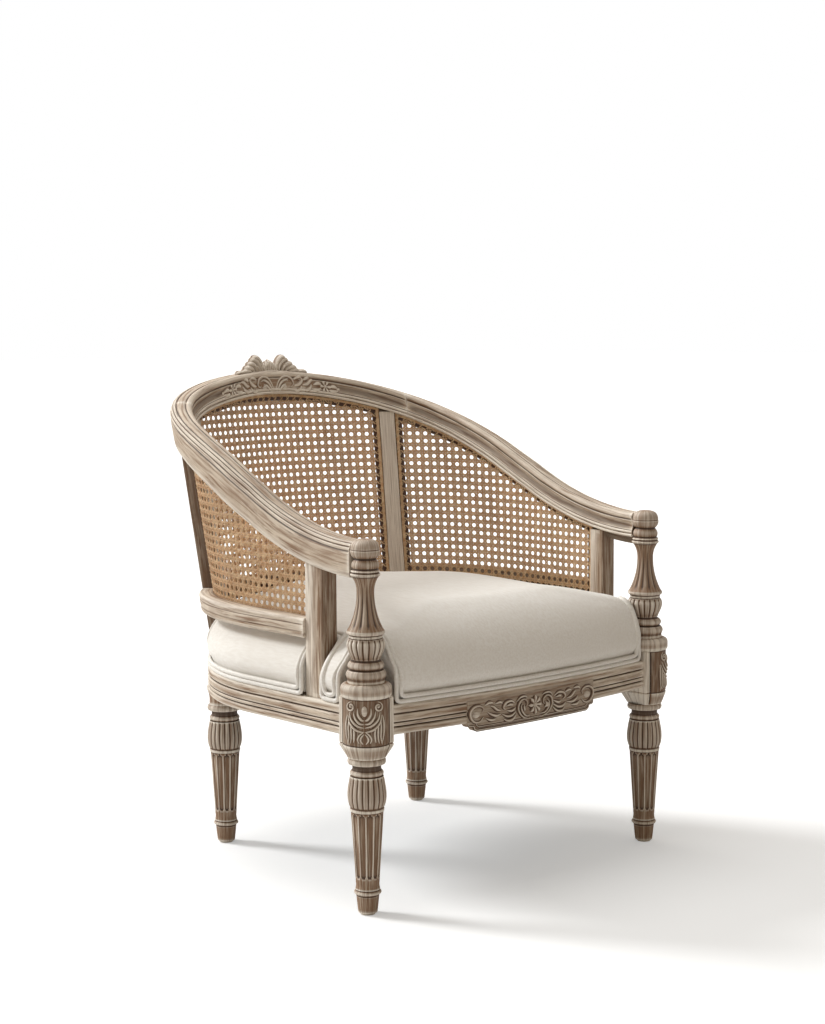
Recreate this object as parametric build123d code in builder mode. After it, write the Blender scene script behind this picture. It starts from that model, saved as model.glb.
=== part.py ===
from build123d import *
import os
from math import cos, degrees, pi, radians, sin, sqrt, tan

# A caned tub armchair in millimetres: the front is -Y, left is -X, the floor is z = 0.

# Plan of the tub
tub_radius = 338.0  # centre line of sides and half circle at the seat
side_run = 287.0  # post axes to the centre of the half circle, along Y
back_lean = 7.5  # degrees, at the middle of the back
corner_splay = 4.0  # degrees that the rear corners lean further, out and back alike
front_bow = 22.0  # rise of the front rail's curve
front_set = 26.0  # front rail's face ahead of the post axes, at its ends

# Levels
seat_rail_bottom = 296.0
seat_rail_height = 50.0
arm_height = 592.0  # centre of the arm rail at the posts
crest_height = 849.0  # centre of the crest rail at the middle
rail_turn = 350.0  # distance from the post at which the sweep of the rail changes its bend
finial_rise = 28.0  # top of the finials above the centre of the arm rail
seat_crown = 488.0  # top of the seat

# Glides and turned legs
glide_radius = 12.0
glide_thickness = 3.0
glide_stem_radius = 3.0
glide_stem = 12.0
toe_foot_radius = 16.0
toe_radius = 18.9
toe_height = 29.0
ankle_ring_radius = 22.8
ankle_ring_height = 16.0
taper_top_radius = 27.0
leg_bulb_radius = 31.8
leg_bulb_height = 53.0
leg_neck_radius = 24.0
leg_neck_height = 9.0
lower_collar_radius = 27.6
lower_collar_height = 10.0
upper_collar_radius = 31.5
upper_collar_height = 12.0
flute_count = 12
flute_radius = 4.2
flute_margin = 14.0  # plain wood left above and below the flutes
bell_radius = 34.0  # top of the rear legs, under the rail
rear_leg_angle = 45.0  # round the half circle from its ends
spigot_radius = 12.0
spigot_depth = 24.0

# Corner blocks and arm posts
block_width = 65.0
block_drop = 34.0  # block and shoulder below the seat rails
block_shoulder = 22.0
block_rise = 17.0  # block above the seat rails
panel_radius = 39.0
corner_cut = 33.0  # flat behind the corner panel, from the post's axis
cap_radius = 42.0
cap_height = 22.0
cap_round = 7.0
base_ring_radius = 32.7
base_ring_height = 22.0
second_ring_radius = 29.5
second_ring_height = 15.0
post_bulb_radius = 31.6
post_bulb_height = 36.0
fillet_ring_radius = 27.5
fillet_ring_height = 5.0
flare_radius = 31.5
flare_height = 10.0
waist_radius = 14.4
collar_radius = 24.6
collar_height = 7.0
finial_radius = 24.2
finial_neck_radius = 17.5
finial_bulge_height = 18.0
finial_ball_height = 33.0
finial_top_radius = 8.0
finial_crown = 6.0
waist_drop = 29.0  # waist of the baluster below its collar
baluster_hollow = 0.2  # sag of its curves against their change of radius
post_spigot_depth = 40.0

# Seat frame
seat_rail_inner = 21.0  # inside the centre line
seat_rail_outer = 25.0  # outside the centre line
bead_height = 13.0
groove_height = 3.0
groove_depth = 3.0
bead_bulge = 2.6
fascia_bulge = 1.2
front_rail_back = 14.0  # back of the front rail behind the post axes
tablet_half = 140.0
tablet_step = 13.0
tablet_drop = 15.0
tablet_step_drop = 6.0
tablet_proud = 3.0
tablet_back = 10.0  # back of the tablet's drop behind the rail's face
tablet_top_margin = 12.0
rear_joint_angle = 32.0  # joint of side rail and rear rail, round the half circle
brace_reach = 72.0
brace_height = 38.0
rear_brace_depth = 30.0
rear_brace_angle = 9.0  # degrees each side of the joint

# Arm and crest rails
rail_half_width = 21.0
rail_half_height = 22.0
rail_rebate = 14.0  # depth of the outer leg below the inner moulding
rail_round = 9.0
rail_cove = 4.0
rail_joint_ahead = 40.0  # joint of arm and crest ahead of the rear stile
arm_sections = 15
crest_sections = 13

# Stiles, lower rails and cane
rear_stile_angle = 50.0  # round the half circle from its ends
rear_stile_half = 15.0  # half the face that shows inside
rear_stile_inner = 17.0
rear_stile_outer = 19.0
front_stile_run = 108.0  # behind the post axes
front_stile_half = 16.0
front_stile_depth = 16.0
ledge = 13.0  # wood behind the edge of the cane
ledge_face = 5.0  # face that the cane lies on, inside the centre line
cane_thickness = 3.0
cane_gap = 1.0
cane_seat = 0.3  # cane clear of the ledge it lies on
spline_width = 5.0
spline_thickness = 2.5
cane_sections = 15
cane_columns = 12  # openings across a panel, standing for the finer weave
cane_open = 0.55  # share of the pitch that an opening takes
cane_border = 12.0  # cane left whole along the edges
lower_rail_bottom = 443.0
lower_rail_height = 34.0
lower_rail_outer = 21.0
lower_rail_round = 5.0
lower_rail_sections = 9
cane_overlap = 6.0  # cane below the top of the lower rail's inner face
tenon_half_thickness = 6.0
tenon_half_width = 10.0
tenon_depth = 20.0
tenon_offset = 7.0

# Upholstery
cover_thickness = 2.0
seat_bulge = 4.0  # cover outside the rail's face
seat_bulge_height = 30.0  # widest level above the rail
seat_roll = 220.0  # width of the roll from edge to crown
front_fullness = 0.55  # the front's roll against that of the sides
seat_corner = 40.0
crown_angle = 80.0  # last section of the crown, out of a quarter turn
crown_sections = 10
post_clearance = 2.0
stile_clearance = 2.0
welt_radius = 4.0
welt_inset = 2.7  # welt's centre inside the rail's face
welt_clearance = 0.3
welt_end_gap = 3.0
web_width = 50.0
web_thickness = 1.5
web_pitch = 76.0
web_count = 5
cross_web_pitch = 100.0
cross_web_count = 3
web_bearing = 28.0  # length of strap on each rail
burlap_thickness = 1.0
dust_cover_thickness = 1.0
dust_cover_bearing = 13.0
leg_hole_gap = 3.0

# Fixings
dowel_radius = 5.0
dowel_length = 50.0
dowel_spacing = 24.0
small_dowel_radius = 4.0
small_dowel_length = 36.0
small_dowel_spacing = 16.0
screw_radius = 2.0
screw_length = 40.0
screw_head_radius = 4.0
screw_head_height = 3.0
screw_set = 28.0  # from a brace's corner to its screws
screw_bore = 60.0  # way in for the driver

# Carving
carving_depth = 3.5
carving_gap = 0.1  # glue line under the carving and relief of the crest
crest_carving_half = 86.0
crest_carving_rise = 31.0
crest_carving_thickness = 26.0
crest_scroll_radius = 15.0
crest_scroll_offset = 37.0
crest_rosette_radius = 11.0
relief_half = 142.0
relief_lobes = 5
relief_lobe_height = 13.0
relief_sections = 9
apron_carving_half = 165.0
apron_lobes = 6
apron_lobe_height = 15.0
block_leaf_height = 62.0
block_leaf_width = 17.0
block_swag_width = 9.0
block_swag_height = 15.5
block_swag_offset = 15.0
block_swag_rise = 12.4
block_swag_tilt = 35.0
leaf_tilt = 25.0
leaf_lap = 0.75  # half a leaf against the pitch
leaf_fall = 0.5  # loss of height along a row

# Worked out from the sizes above
seat_top = seat_rail_bottom + seat_rail_height
lean = tan(radians(back_lean))
splay = tan(radians(corner_splay))
splay_peak = 0.4 * 0.6**1.5  # greatest value of the corners' bend, below
half_length = side_run + tub_radius * pi / 2
rail_rise = crest_height - arm_height
rail_outer_radius = tub_radius + seat_rail_outer
front_reach = side_run + front_set + front_bow + tablet_proud + carving_depth
crest_level = crest_height + rail_half_height - rail_round
back_reach = tub_radius + lean * (crest_level - seat_top) + rail_half_width
tub_y = (front_reach - back_reach) / 2  # the origin is under the middle of the chair
post_y = tub_y - side_run
front_face_y = post_y - front_set
block_inside = tub_radius - block_width / 2
block_behind = post_y + block_width / 2
bow_radius = (block_inside**2 + front_bow**2) / (2 * front_bow)
bow_centre = front_face_y - front_bow + bow_radius
block_bottom = seat_rail_bottom - block_drop
block_top = seat_top + block_rise
cap_top = block_top + cap_height
rear_stile_run = side_run + tub_radius * radians(rear_stile_angle)
rail_joint_run = rear_stile_run - rail_joint_ahead
rear_stile_ledge = rear_stile_half + ledge
front_stile_ledge = front_stile_half + ledge
cane_bottom = lower_rail_bottom + cane_overlap
block_corner = block_width / sqrt(2)
notch_radius = max(cap_radius, block_corner) + post_clearance
tub_axis = Axis((0, tub_y, 0), (0, 0, 1))
post_place = (tub_radius, post_y, 0)
rear_leg_place = (
    tub_radius * cos(radians(rear_leg_angle)),
    tub_y + tub_radius * sin(radians(rear_leg_angle)),
    0,
)


# The tub: a run is the distance from the right post along the seat's centre line
def turn_at(run):
    return max(0.0, run - side_run) / tub_radius


def outward(run):
    return Vector(cos(turn_at(run)), sin(turn_at(run)), 0)


def backward(run):
    return Vector(-sin(turn_at(run)), cos(turn_at(run)), 0)


# Splay of the rear corners: none at the arms and the middle of the back, most between them
def corner_lean(run):
    turn = turn_at(run)
    return splay * sin(turn)**2 * abs(cos(turn))**3 / splay_peak


def leaning(run):
    turn = turn_at(run)
    aside = corner_lean(run) if turn < pi / 2 else -corner_lean(run)
    return Vector(aside, lean * sin(turn) + corner_lean(run), 1)


def tub_point(run, height):
    turn = turn_at(run)
    straight = min(run - side_run, 0.0)
    foot = Vector(tub_radius * cos(turn), tub_y + straight + tub_radius * sin(turn), seat_top)
    return foot + leaning(run) * (height - seat_top)


# Upright plane across the tub, with its own x outward and its y up along the lean
def station(run, height):
    across = outward(run)
    slope = leaning(run)
    rise = slope - across * slope.dot(across)
    return Plane(origin=tub_point(run, height), x_dir=across, z_dir=across.cross(rise))


def on_station(run, out, rise):
    slide = leaning(run).dot(outward(run))
    climb = sqrt(leaning(run).dot(leaning(run)) - slide**2)
    return (out + rise * slide, rise * climb)


def level_plane(run, height):
    return Plane(origin=tub_point(run, height), x_dir=outward(run), z_dir=(0, 0, 1))


def runs_between(start, end, count):
    return [start + (end - start) * step / (count - 1) for step in range(count)]


# Two parabolas that meet at rail_turn, flat at the post and at the middle of the back
def rail_height(run):
    near = min(run, 2 * half_length - run)
    if near < rail_turn:
        return arm_height + rail_rise * near**2 / (rail_turn * half_length)
    left = half_length - near
    return crest_height - rail_rise * left**2 / ((half_length - rail_turn) * half_length)


def rail_stretch(run):
    near = min(run, 2 * half_length - run)
    if near < rail_turn:
        slope = 2 * rail_rise * near / (rail_turn * half_length)
    else:
        slope = 2 * rail_rise * (half_length - near) / ((half_length - rail_turn) * half_length)
    return sqrt(1 + slope**2)


# Moulded section of arm and crest, rebated below for the cane
def rail_section(run):
    stretch = rail_stretch(run)

    def at(out, rise):
        return on_station(run, out, rise * stretch)

    side = rail_half_width
    top = rail_half_height
    foot = -rail_half_height - rail_rebate
    soft = rail_round * (1 - sqrt(0.5))
    with BuildSketch(station(run, rail_height(run))) as section:
        with BuildLine():
            Polyline(
                at(-side, -top),
                at(-ledge_face, -top),
                at(-ledge_face, foot),
                at(side - groove_depth, foot),
                at(side, foot + groove_depth),
                at(side, top - rail_round),
            )
            ThreePointArc(
                at(side, top - rail_round),
                at(side - soft, top - soft),
                at(side - rail_round, top),
            )
            Line(at(side - rail_round, top), at(rail_round - side, top))
            ThreePointArc(
                at(rail_round - side, top),
                at(soft - side, top - soft),
                at(-side, top - rail_round),
            )
            ThreePointArc(
                at(-side, top - rail_round),
                at(rail_cove - side, -rail_cove),
                at(-side, rail_round - top),
            )
            Line(at(-side, rail_round - top), at(-side, -top))
        make_face()
    return section.sketch


# Level strip of the tub between two offsets, from one height to another
def tub_strip(runs, inner, outer, bottom, top_of):
    sections = []
    for run in runs:
        rise = top_of(run) - bottom
        with BuildSketch(station(run, bottom)) as section:
            with BuildLine():
                Polyline(
                    on_station(run, inner, 0),
                    on_station(run, outer, 0),
                    on_station(run, outer, rise),
                    on_station(run, inner, rise),
                    close=True,
                )
            make_face()
        sections.append(section.sketch)
    with BuildPart() as strip:
        loft(sections)
    return strip.part


# Stile that leans with the tub, from its outline in plan
def stile_prism(run, outline, bottom, top):
    with BuildPart() as prism:
        with BuildSketch(level_plane(run, bottom)):
            with BuildLine():
                Polyline(*outline, close=True)
            make_face()
        extrude(amount=(top - bottom) * leaning(run).length, dir=leaning(run))
    return prism.part


def rectangle(inner, outer, ahead, behind):
    return [(inner, ahead), (outer, ahead), (outer, behind), (inner, behind)]


# Body of revolution: each stop gives radius, height and the bulge of the line that leads to it
def turned(start, stops):
    with BuildPart() as body:
        with BuildSketch(Plane.XZ):
            with BuildLine():
                here = start
                for radius, height, bulge in stops:
                    there = (radius, height)
                    if bulge:
                        SagittaArc(here, there, -bulge)
                    else:
                        Line(here, there)
                    here = there
                Polyline(here, (0, here[1]), (0, start[1]), start)
            make_face()
        revolve(axis=Axis.Z)
    return body.part


def pins(planes, radius, length):
    with BuildPart() as group:
        with Locations(*planes):
            Cylinder(radius, length)
    return group.part


def mirrored(planes):
    flipped = []
    for plane in planes:
        origin = plane.origin
        facing = plane.z_dir
        flipped.append(Plane(origin=(-origin.X, origin.Y, origin.Z), z_dir=(-facing.X, facing.Y, facing.Z)))
    return planes + flipped


# Dowels, two to each joint of the seat frame
seat_rail_middle = seat_rail_bottom + seat_rail_height / 2
dowel_levels = [seat_rail_middle - dowel_spacing / 2, seat_rail_middle + dowel_spacing / 2]
front_rail_middle = post_y + (front_rail_back - front_set) / 2
front_dowel_planes = []
side_dowel_planes = []
rear_dowel_planes = []
rear_joint_run = side_run + tub_radius * radians(rear_joint_angle)
for level in dowel_levels:
    front_dowel_planes.append(Plane(origin=(block_inside, front_rail_middle, level), z_dir=(1, 0, 0)))
    side_dowel_planes.append(Plane(origin=(tub_radius, block_behind, level), z_dir=(0, 1, 0)))
    rear_joint = tub_point(rear_joint_run, seat_top)
    rear_dowel_planes.append(
        Plane(origin=(rear_joint.X, rear_joint.Y, level), z_dir=backward(rear_joint_run))
    )
with BuildPart() as front_rail_dowels:
    add(pins(mirrored(front_dowel_planes), dowel_radius, dowel_length))
with BuildPart() as side_rail_dowels:
    add(pins(mirrored(side_dowel_planes), dowel_radius, dowel_length))
with BuildPart() as rear_rail_dowels:
    add(pins(mirrored(rear_dowel_planes), dowel_radius, dowel_length))

# Dowels of the arm rails, at the posts and at the crest
arm_dowel_planes = [
    Plane(origin=(tub_radius, post_y + collar_radius, arm_height), z_dir=(0, 1, 0)),
]
crest_dowel_planes = []
for rise in (-small_dowel_spacing / 2, small_dowel_spacing / 2):
    joint = station(rail_joint_run, rail_height(rail_joint_run))
    crest_dowel_planes.append(Plane(origin=joint.from_local_coords((0, rise, 0)), z_dir=joint.z_dir))
with BuildPart() as arm_post_dowels:
    add(pins(mirrored(arm_dowel_planes), small_dowel_radius, small_dowel_length))
with BuildPart() as crest_dowels:
    add(pins(mirrored(crest_dowel_planes), small_dowel_radius, small_dowel_length))

# Dowels of the lower cane rails, at both faces of the rear stiles and behind the front stiles
lower_rail_middle = lower_rail_bottom + lower_rail_height / 2
lower_rail_centre = (lower_rail_outer - ledge_face) / 2
lower_dowel_planes = []
for run, along in (
    (front_stile_run, front_stile_ledge),
    (rear_stile_run, -rear_stile_ledge),
    (rear_stile_run, rear_stile_ledge),
):
    for rise in (-small_dowel_spacing / 2, small_dowel_spacing / 2):
        middle = tub_point(run, lower_rail_middle + rise)
        middle = middle + outward(run) * lower_rail_centre + backward(run) * along
        lower_dowel_planes.append(Plane(origin=middle, z_dir=backward(run)))
with BuildPart() as lower_rail_dowels:
    add(pins(mirrored(lower_dowel_planes), small_dowel_radius, small_dowel_length))

# Screws of the corner braces, heads on the inside
front_rail_back_y = post_y + front_rail_back
seat_rail_inside = tub_radius - seat_rail_inner
screw_planes = [
    Plane(origin=(block_inside - screw_set, front_rail_back_y, seat_rail_middle), z_dir=(0, -1, 0)),
    Plane(origin=(seat_rail_inside, block_behind + screw_set, seat_rail_middle), z_dir=(1, 0, 0)),
]
for side in (-1, 1):
    run = rear_joint_run + side * tub_radius * radians(rear_brace_angle) / 2
    middle = tub_point(run, seat_top) - outward(run) * seat_rail_inner
    screw_planes.append(Plane(origin=(middle.X, middle.Y, seat_rail_middle), z_dir=outward(run)))
with BuildPart() as brace_screws:
    with Locations(*mirrored(screw_planes)):
        Cylinder(screw_radius, screw_length)
        with Locations((0, 0, -screw_length / 2)):
            Cone(
                screw_head_radius,
                screw_radius,
                screw_head_height,
                align=(Align.CENTER, Align.CENTER, Align.MIN),
            )
with BuildPart() as screw_bores:
    with Locations(*mirrored(screw_planes)):
        with Locations((0, 0, -screw_length / 2)):
            Cylinder(screw_head_radius, screw_bore, align=(Align.CENTER, Align.CENTER, Align.MAX))

# Turned leg, from the glide up to the two collars
leg_collar_height = upper_collar_height + leg_neck_height + lower_collar_height
bulb_top = block_bottom - leg_collar_height
bulb_bottom = bulb_top - leg_bulb_height
ring_top = glide_thickness + toe_height + ankle_ring_height
lower_collar_top = bulb_top + lower_collar_height
neck_top = lower_collar_top + leg_neck_height
leg_stops = [
    (toe_radius, glide_thickness + toe_height, 0),
    (toe_radius, ring_top, ankle_ring_radius - toe_radius),
    (taper_top_radius, bulb_bottom, 0),
    (taper_top_radius, bulb_top, leg_bulb_radius - taper_top_radius),
    (lower_collar_radius - bead_bulge, bulb_top, 0),
    (lower_collar_radius - bead_bulge, lower_collar_top, bead_bulge),
    (leg_neck_radius, lower_collar_top, 0),
    (leg_neck_radius, neck_top, 0),
    (upper_collar_radius - bead_bulge, neck_top, 0),
    (upper_collar_radius - bead_bulge, block_bottom, bead_bulge),
]
leg_foot = (toe_foot_radius, glide_thickness)


# Flutes down the taper, stopped above the ankle ring and below the bulb
def flute_cutter():
    low = ring_top + flute_margin
    high = bulb_bottom - flute_margin
    slope = (taper_top_radius - toe_radius) / (bulb_bottom - ring_top)
    foot = Vector(toe_radius + slope * (low - ring_top), 0, low)
    head = Vector(toe_radius + slope * (high - ring_top), 0, high)
    sink = Vector(flute_radius / 2, 0, 0)
    with BuildPart() as cutter:
        with Locations(Plane(origin=foot + sink, z_dir=head - foot)):
            Cylinder(
                flute_radius,
                (head - foot).length,
                align=(Align.CENTER, Align.CENTER, Align.MIN),
            )
        with Locations(foot + sink, head + sink):
            Sphere(flute_radius)
    return cutter.part


with BuildPart() as fluted_leg:
    add(turned(leg_foot, leg_stops))
    with PolarLocations(0, flute_count):
        add(flute_cutter(), mode=Mode.SUBTRACT)
    with Locations((0, 0, glide_thickness)):
        Cylinder(
            glide_stem_radius,
            glide_stem,
            align=(Align.CENTER, Align.CENTER, Align.MIN),
            mode=Mode.SUBTRACT,
        )

# Corner block: squared timber with lathe-turned shoulders and a rounded panel on the corner
shoulder_top = block_bottom + block_shoulder
with BuildPart() as turned_block:
    with BuildSketch(Plane.XY.offset(block_bottom)):
        Rectangle(block_width, block_width)
        with Locations(Location((corner_cut / sqrt(2), -corner_cut / sqrt(2)), -45)):
            Rectangle(block_width, 2 * block_width, align=(Align.MIN, Align.CENTER), mode=Mode.SUBTRACT)
    extrude(amount=block_top - block_bottom)
    with BuildSketch(Plane.XY.offset(block_bottom)):
        Circle(panel_radius)
        with Locations(Location((0, 0), -45)):
            Rectangle(
                panel_radius,
                2 * panel_radius,
                align=(Align.MIN, Align.CENTER),
                mode=Mode.INTERSECT,
            )
    extrude(amount=block_top - block_bottom)
    with BuildSketch(Plane.XZ):
        with BuildLine():
            Polyline((upper_collar_radius, block_bottom), (0, block_bottom), (0, block_top))
            Polyline((0, block_top), (block_corner, block_top), (block_corner, shoulder_top))
            Line((block_corner, shoulder_top), (upper_collar_radius, block_bottom))
        make_face()
    revolve(axis=Axis.Z, mode=Mode.INTERSECT)
    with Locations((0, 0, block_top)):
        Cylinder(cap_radius, cap_height, align=(Align.CENTER, Align.CENTER, Align.MIN))
    fillet(edges().group_by(Axis.Z)[-1], cap_round)
    add(fluted_leg.part)
    with Locations((0, 0, cap_top)):
        Cylinder(
            spigot_radius,
            post_spigot_depth,
            align=(Align.CENTER, Align.CENTER, Align.MAX),
            mode=Mode.SUBTRACT,
        )
with BuildPart() as front_leg_right:
    with Locations(post_place):
        add(turned_block.part)
    add(front_rail_dowels.part, mode=Mode.SUBTRACT)
    add(side_rail_dowels.part, mode=Mode.SUBTRACT)
with BuildPart() as front_leg_left:
    mirror(front_leg_right.part, about=Plane.YZ)

# Rear leg: the same turning, with a bell under the rail and a round tenon
with BuildPart() as belled_leg:
    add(fluted_leg.part)
    add(
        turned(
            (upper_collar_radius - bead_bulge, block_bottom),
            [(bell_radius, seat_rail_bottom, -bead_bulge)],
        )
    )
    with Locations((0, 0, seat_rail_bottom)):
        Cylinder(spigot_radius, spigot_depth, align=(Align.CENTER, Align.CENTER, Align.MIN))
with BuildPart() as rear_leg_right:
    with Locations(rear_leg_place):
        add(belled_leg.part)
with BuildPart() as rear_leg_left:
    mirror(rear_leg_right.part, about=Plane.YZ)

# Arm post: rings, bulb, baluster and ball finial
base_ring_top = cap_top + base_ring_height
second_ring_top = base_ring_top + second_ring_height
post_bulb_top = second_ring_top + post_bulb_height
fillet_ring_top = post_bulb_top + fillet_ring_height
flare_top = fillet_ring_top + flare_height
post_height = arm_height + finial_rise
finial_neck = post_height - finial_ball_height
collar_top = finial_neck - finial_bulge_height
collar_bottom = collar_top - collar_height
waist_level = collar_bottom - waist_drop
bulb_neck_radius = (post_bulb_radius + leg_neck_radius) / 2
flare_sag = (flare_radius - waist_radius) * baluster_hollow
collar_sag = (collar_radius - waist_radius) * baluster_hollow
post_stops = [
    (base_ring_radius - bead_bulge, base_ring_top, bead_bulge),
    (second_ring_radius - bead_bulge, base_ring_top, 0),
    (second_ring_radius - bead_bulge, second_ring_top, bead_bulge),
    (bulb_neck_radius, second_ring_top, 0),
    (bulb_neck_radius, post_bulb_top, post_bulb_radius - bulb_neck_radius),
    (fillet_ring_radius, post_bulb_top, 0),
    (fillet_ring_radius, fillet_ring_top, 0),
    (flare_radius - bead_bulge, fillet_ring_top, 0),
    (flare_radius - bead_bulge, flare_top, bead_bulge),
    (waist_radius, waist_level, -flare_sag),
    (collar_radius - bead_bulge, collar_bottom, -collar_sag),
    (collar_radius - bead_bulge, collar_top, bead_bulge),
    (finial_neck_radius, finial_neck, bead_bulge),
    (finial_radius, finial_neck + finial_ball_height / 2, bead_bulge),
    (finial_top_radius, post_height, finial_crown),
]
with BuildPart() as turned_post:
    add(turned((base_ring_radius - bead_bulge, cap_top), post_stops))
    with Locations((0, 0, cap_top)):
        Cylinder(spigot_radius, post_spigot_depth, align=(Align.CENTER, Align.CENTER, Align.MAX))
with BuildPart() as arm_post_right:
    with Locations(post_place):
        add(turned_post.part)
    add(arm_post_dowels.part, mode=Mode.SUBTRACT)
with BuildPart() as arm_post_left:
    mirror(arm_post_right.part, about=Plane.YZ)

# Glides, nailed into the toes
with BuildPart() as leg_glides:
    for place in (post_place, rear_leg_place):
        for side in (-1, 1):
            with Locations((side * place[0], place[1], 0)):
                Cylinder(glide_radius, glide_thickness, align=(Align.CENTER, Align.CENTER, Align.MIN))
            with Locations((side * place[0], place[1], glide_thickness)):
                Cylinder(glide_stem_radius, glide_stem, align=(Align.CENTER, Align.CENTER, Align.MIN))

# Tenons of the stiles, let into the seat rails and the rails above
tenon_outline = rectangle(
    tenon_offset - tenon_half_thickness,
    tenon_offset + tenon_half_thickness,
    -tenon_half_width,
    tenon_half_width,
)
tenon_bottom = seat_top - tenon_depth
with BuildPart() as front_tenon:
    add(stile_prism(front_stile_run, tenon_outline, tenon_bottom, rail_height(front_stile_run)))
with BuildPart() as rear_tenon:
    add(stile_prism(rear_stile_run, tenon_outline, tenon_bottom, rail_height(rear_stile_run)))


# Moulded section of the side and rear seat rails
def seat_rail_section(plane):
    bead_top = bead_height
    fascia_bottom = bead_top + groove_height
    fascia_top = seat_rail_height - bead_height - groove_height
    upper_bead = seat_rail_height - bead_height
    bead_face = seat_rail_outer - bead_bulge
    fascia_face = seat_rail_outer - fascia_bulge
    groove_face = bead_face - groove_depth
    groove = groove_height / 2
    with BuildSketch(plane) as section:
        with BuildLine():
            Line((-seat_rail_inner, 0), (bead_face, 0))
            SagittaArc((bead_face, 0), (bead_face, bead_top), -bead_bulge)
            Polyline(
                (bead_face, bead_top),
                (groove_face, bead_top + groove),
                (fascia_face, fascia_bottom),
            )
            SagittaArc((fascia_face, fascia_bottom), (fascia_face, fascia_top), -fascia_bulge)
            Polyline(
                (fascia_face, fascia_top),
                (groove_face, fascia_top + groove),
                (bead_face, upper_bead),
            )
            SagittaArc((bead_face, upper_bead), (bead_face, seat_rail_height), -bead_bulge)
            Polyline(
                (bead_face, seat_rail_height),
                (-seat_rail_inner, seat_rail_height),
                (-seat_rail_inner, 0),
            )
        make_face()
    return section.sketch


# Side seat rail: straight behind the block, then round to its joint
with BuildPart() as side_seat_rail_right:
    side_start = Plane(
        origin=(tub_radius, block_behind, seat_rail_bottom), x_dir=(1, 0, 0), z_dir=(0, -1, 0)
    )
    side_turn = Plane(origin=(tub_radius, tub_y, seat_rail_bottom), x_dir=(1, 0, 0), z_dir=(0, -1, 0))
    extrude(seat_rail_section(side_start), amount=-(tub_y - block_behind))
    revolve(seat_rail_section(side_turn), axis=tub_axis, revolution_arc=rear_joint_angle)
    add(side_rail_dowels.part, mode=Mode.SUBTRACT)
    add(rear_rail_dowels.part, mode=Mode.SUBTRACT)
    add(brace_screws.part, mode=Mode.SUBTRACT)
    add(front_tenon.part, mode=Mode.SUBTRACT)
with BuildPart() as side_seat_rail_left:
    mirror(side_seat_rail_right.part, about=Plane.YZ)

# Rear seat rail, bored from below for the rear legs
with BuildPart() as rear_seat_rail:
    rear_start = level_plane(rear_joint_run, seat_top)
    rear_section_plane = Plane(
        origin=rear_start.origin - Vector(0, 0, seat_rail_height),
        x_dir=outward(rear_joint_run),
        z_dir=backward(rear_joint_run) * -1,
    )
    revolve(
        seat_rail_section(rear_section_plane),
        axis=tub_axis,
        revolution_arc=180 - 2 * rear_joint_angle,
    )
    for side in (-1, 1):
        with Locations((side * rear_leg_place[0], rear_leg_place[1], seat_rail_bottom)):
            Cylinder(
                spigot_radius,
                spigot_depth,
                align=(Align.CENTER, Align.CENTER, Align.MIN),
                mode=Mode.SUBTRACT,
            )
    add(rear_rail_dowels.part, mode=Mode.SUBTRACT)
    add(brace_screws.part, mode=Mode.SUBTRACT)
    add(rear_tenon.part, mode=Mode.SUBTRACT)
    mirror(rear_tenon.part, about=Plane.YZ, mode=Mode.SUBTRACT)


# Front face of the rail, or of what stands proud of it, at a distance from the middle
def bow_edge(offset, proud):
    return bow_centre - sqrt((bow_radius + proud) ** 2 - offset**2)


# Bowed plan of the front rail, its face moved forward by a set distance
def front_plan(height, half_width, proud, back):
    ends = bow_edge(half_width, proud)
    with BuildSketch(Plane.XY.offset(height)) as plan:
        with BuildLine():
            ThreePointArc((-half_width, ends), (0, bow_edge(0, proud)), (half_width, ends))
            Polyline(
                (half_width, ends),
                (half_width, back),
                (-half_width, back),
                (-half_width, ends),
            )
        make_face()
    return plan.sketch


# Front seat rail, grooved along its bow, with the stepped tablet below
with BuildPart() as front_seat_rail:
    extrude(front_plan(seat_rail_bottom, block_inside, 0, front_rail_back_y), amount=seat_rail_height)
    groove_levels = (
        seat_rail_bottom + bead_height + groove_height / 2,
        seat_top - bead_height - groove_height / 2,
    )
    for level in groove_levels:
        with BuildLine() as groove_path:
            ThreePointArc(
                (-tub_radius, bow_edge(tub_radius, 0), level),
                (0, bow_edge(0, 0), level),
                (tub_radius, bow_edge(tub_radius, 0), level),
            )
        with BuildSketch(Plane(origin=groove_path.line @ 0, z_dir=groove_path.line % 0)) as groove_round:
            Circle(groove_height / 2)
        sweep(groove_round.sketch, path=groove_path.line, mode=Mode.SUBTRACT)
    tablet_top = seat_top - tablet_top_margin
    step_bottom = seat_rail_bottom - tablet_step_drop
    tablet_bottom = seat_rail_bottom - tablet_drop
    tablet_back_y = front_face_y + tablet_back
    extrude(
        front_plan(step_bottom, tablet_half + tablet_step, tablet_proud, tablet_back_y),
        amount=tablet_top - step_bottom,
    )
    extrude(
        front_plan(tablet_bottom, tablet_half, tablet_proud, tablet_back_y),
        amount=step_bottom - tablet_bottom,
    )
    add(front_rail_dowels.part, mode=Mode.SUBTRACT)
    add(brace_screws.part, mode=Mode.SUBTRACT)

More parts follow.
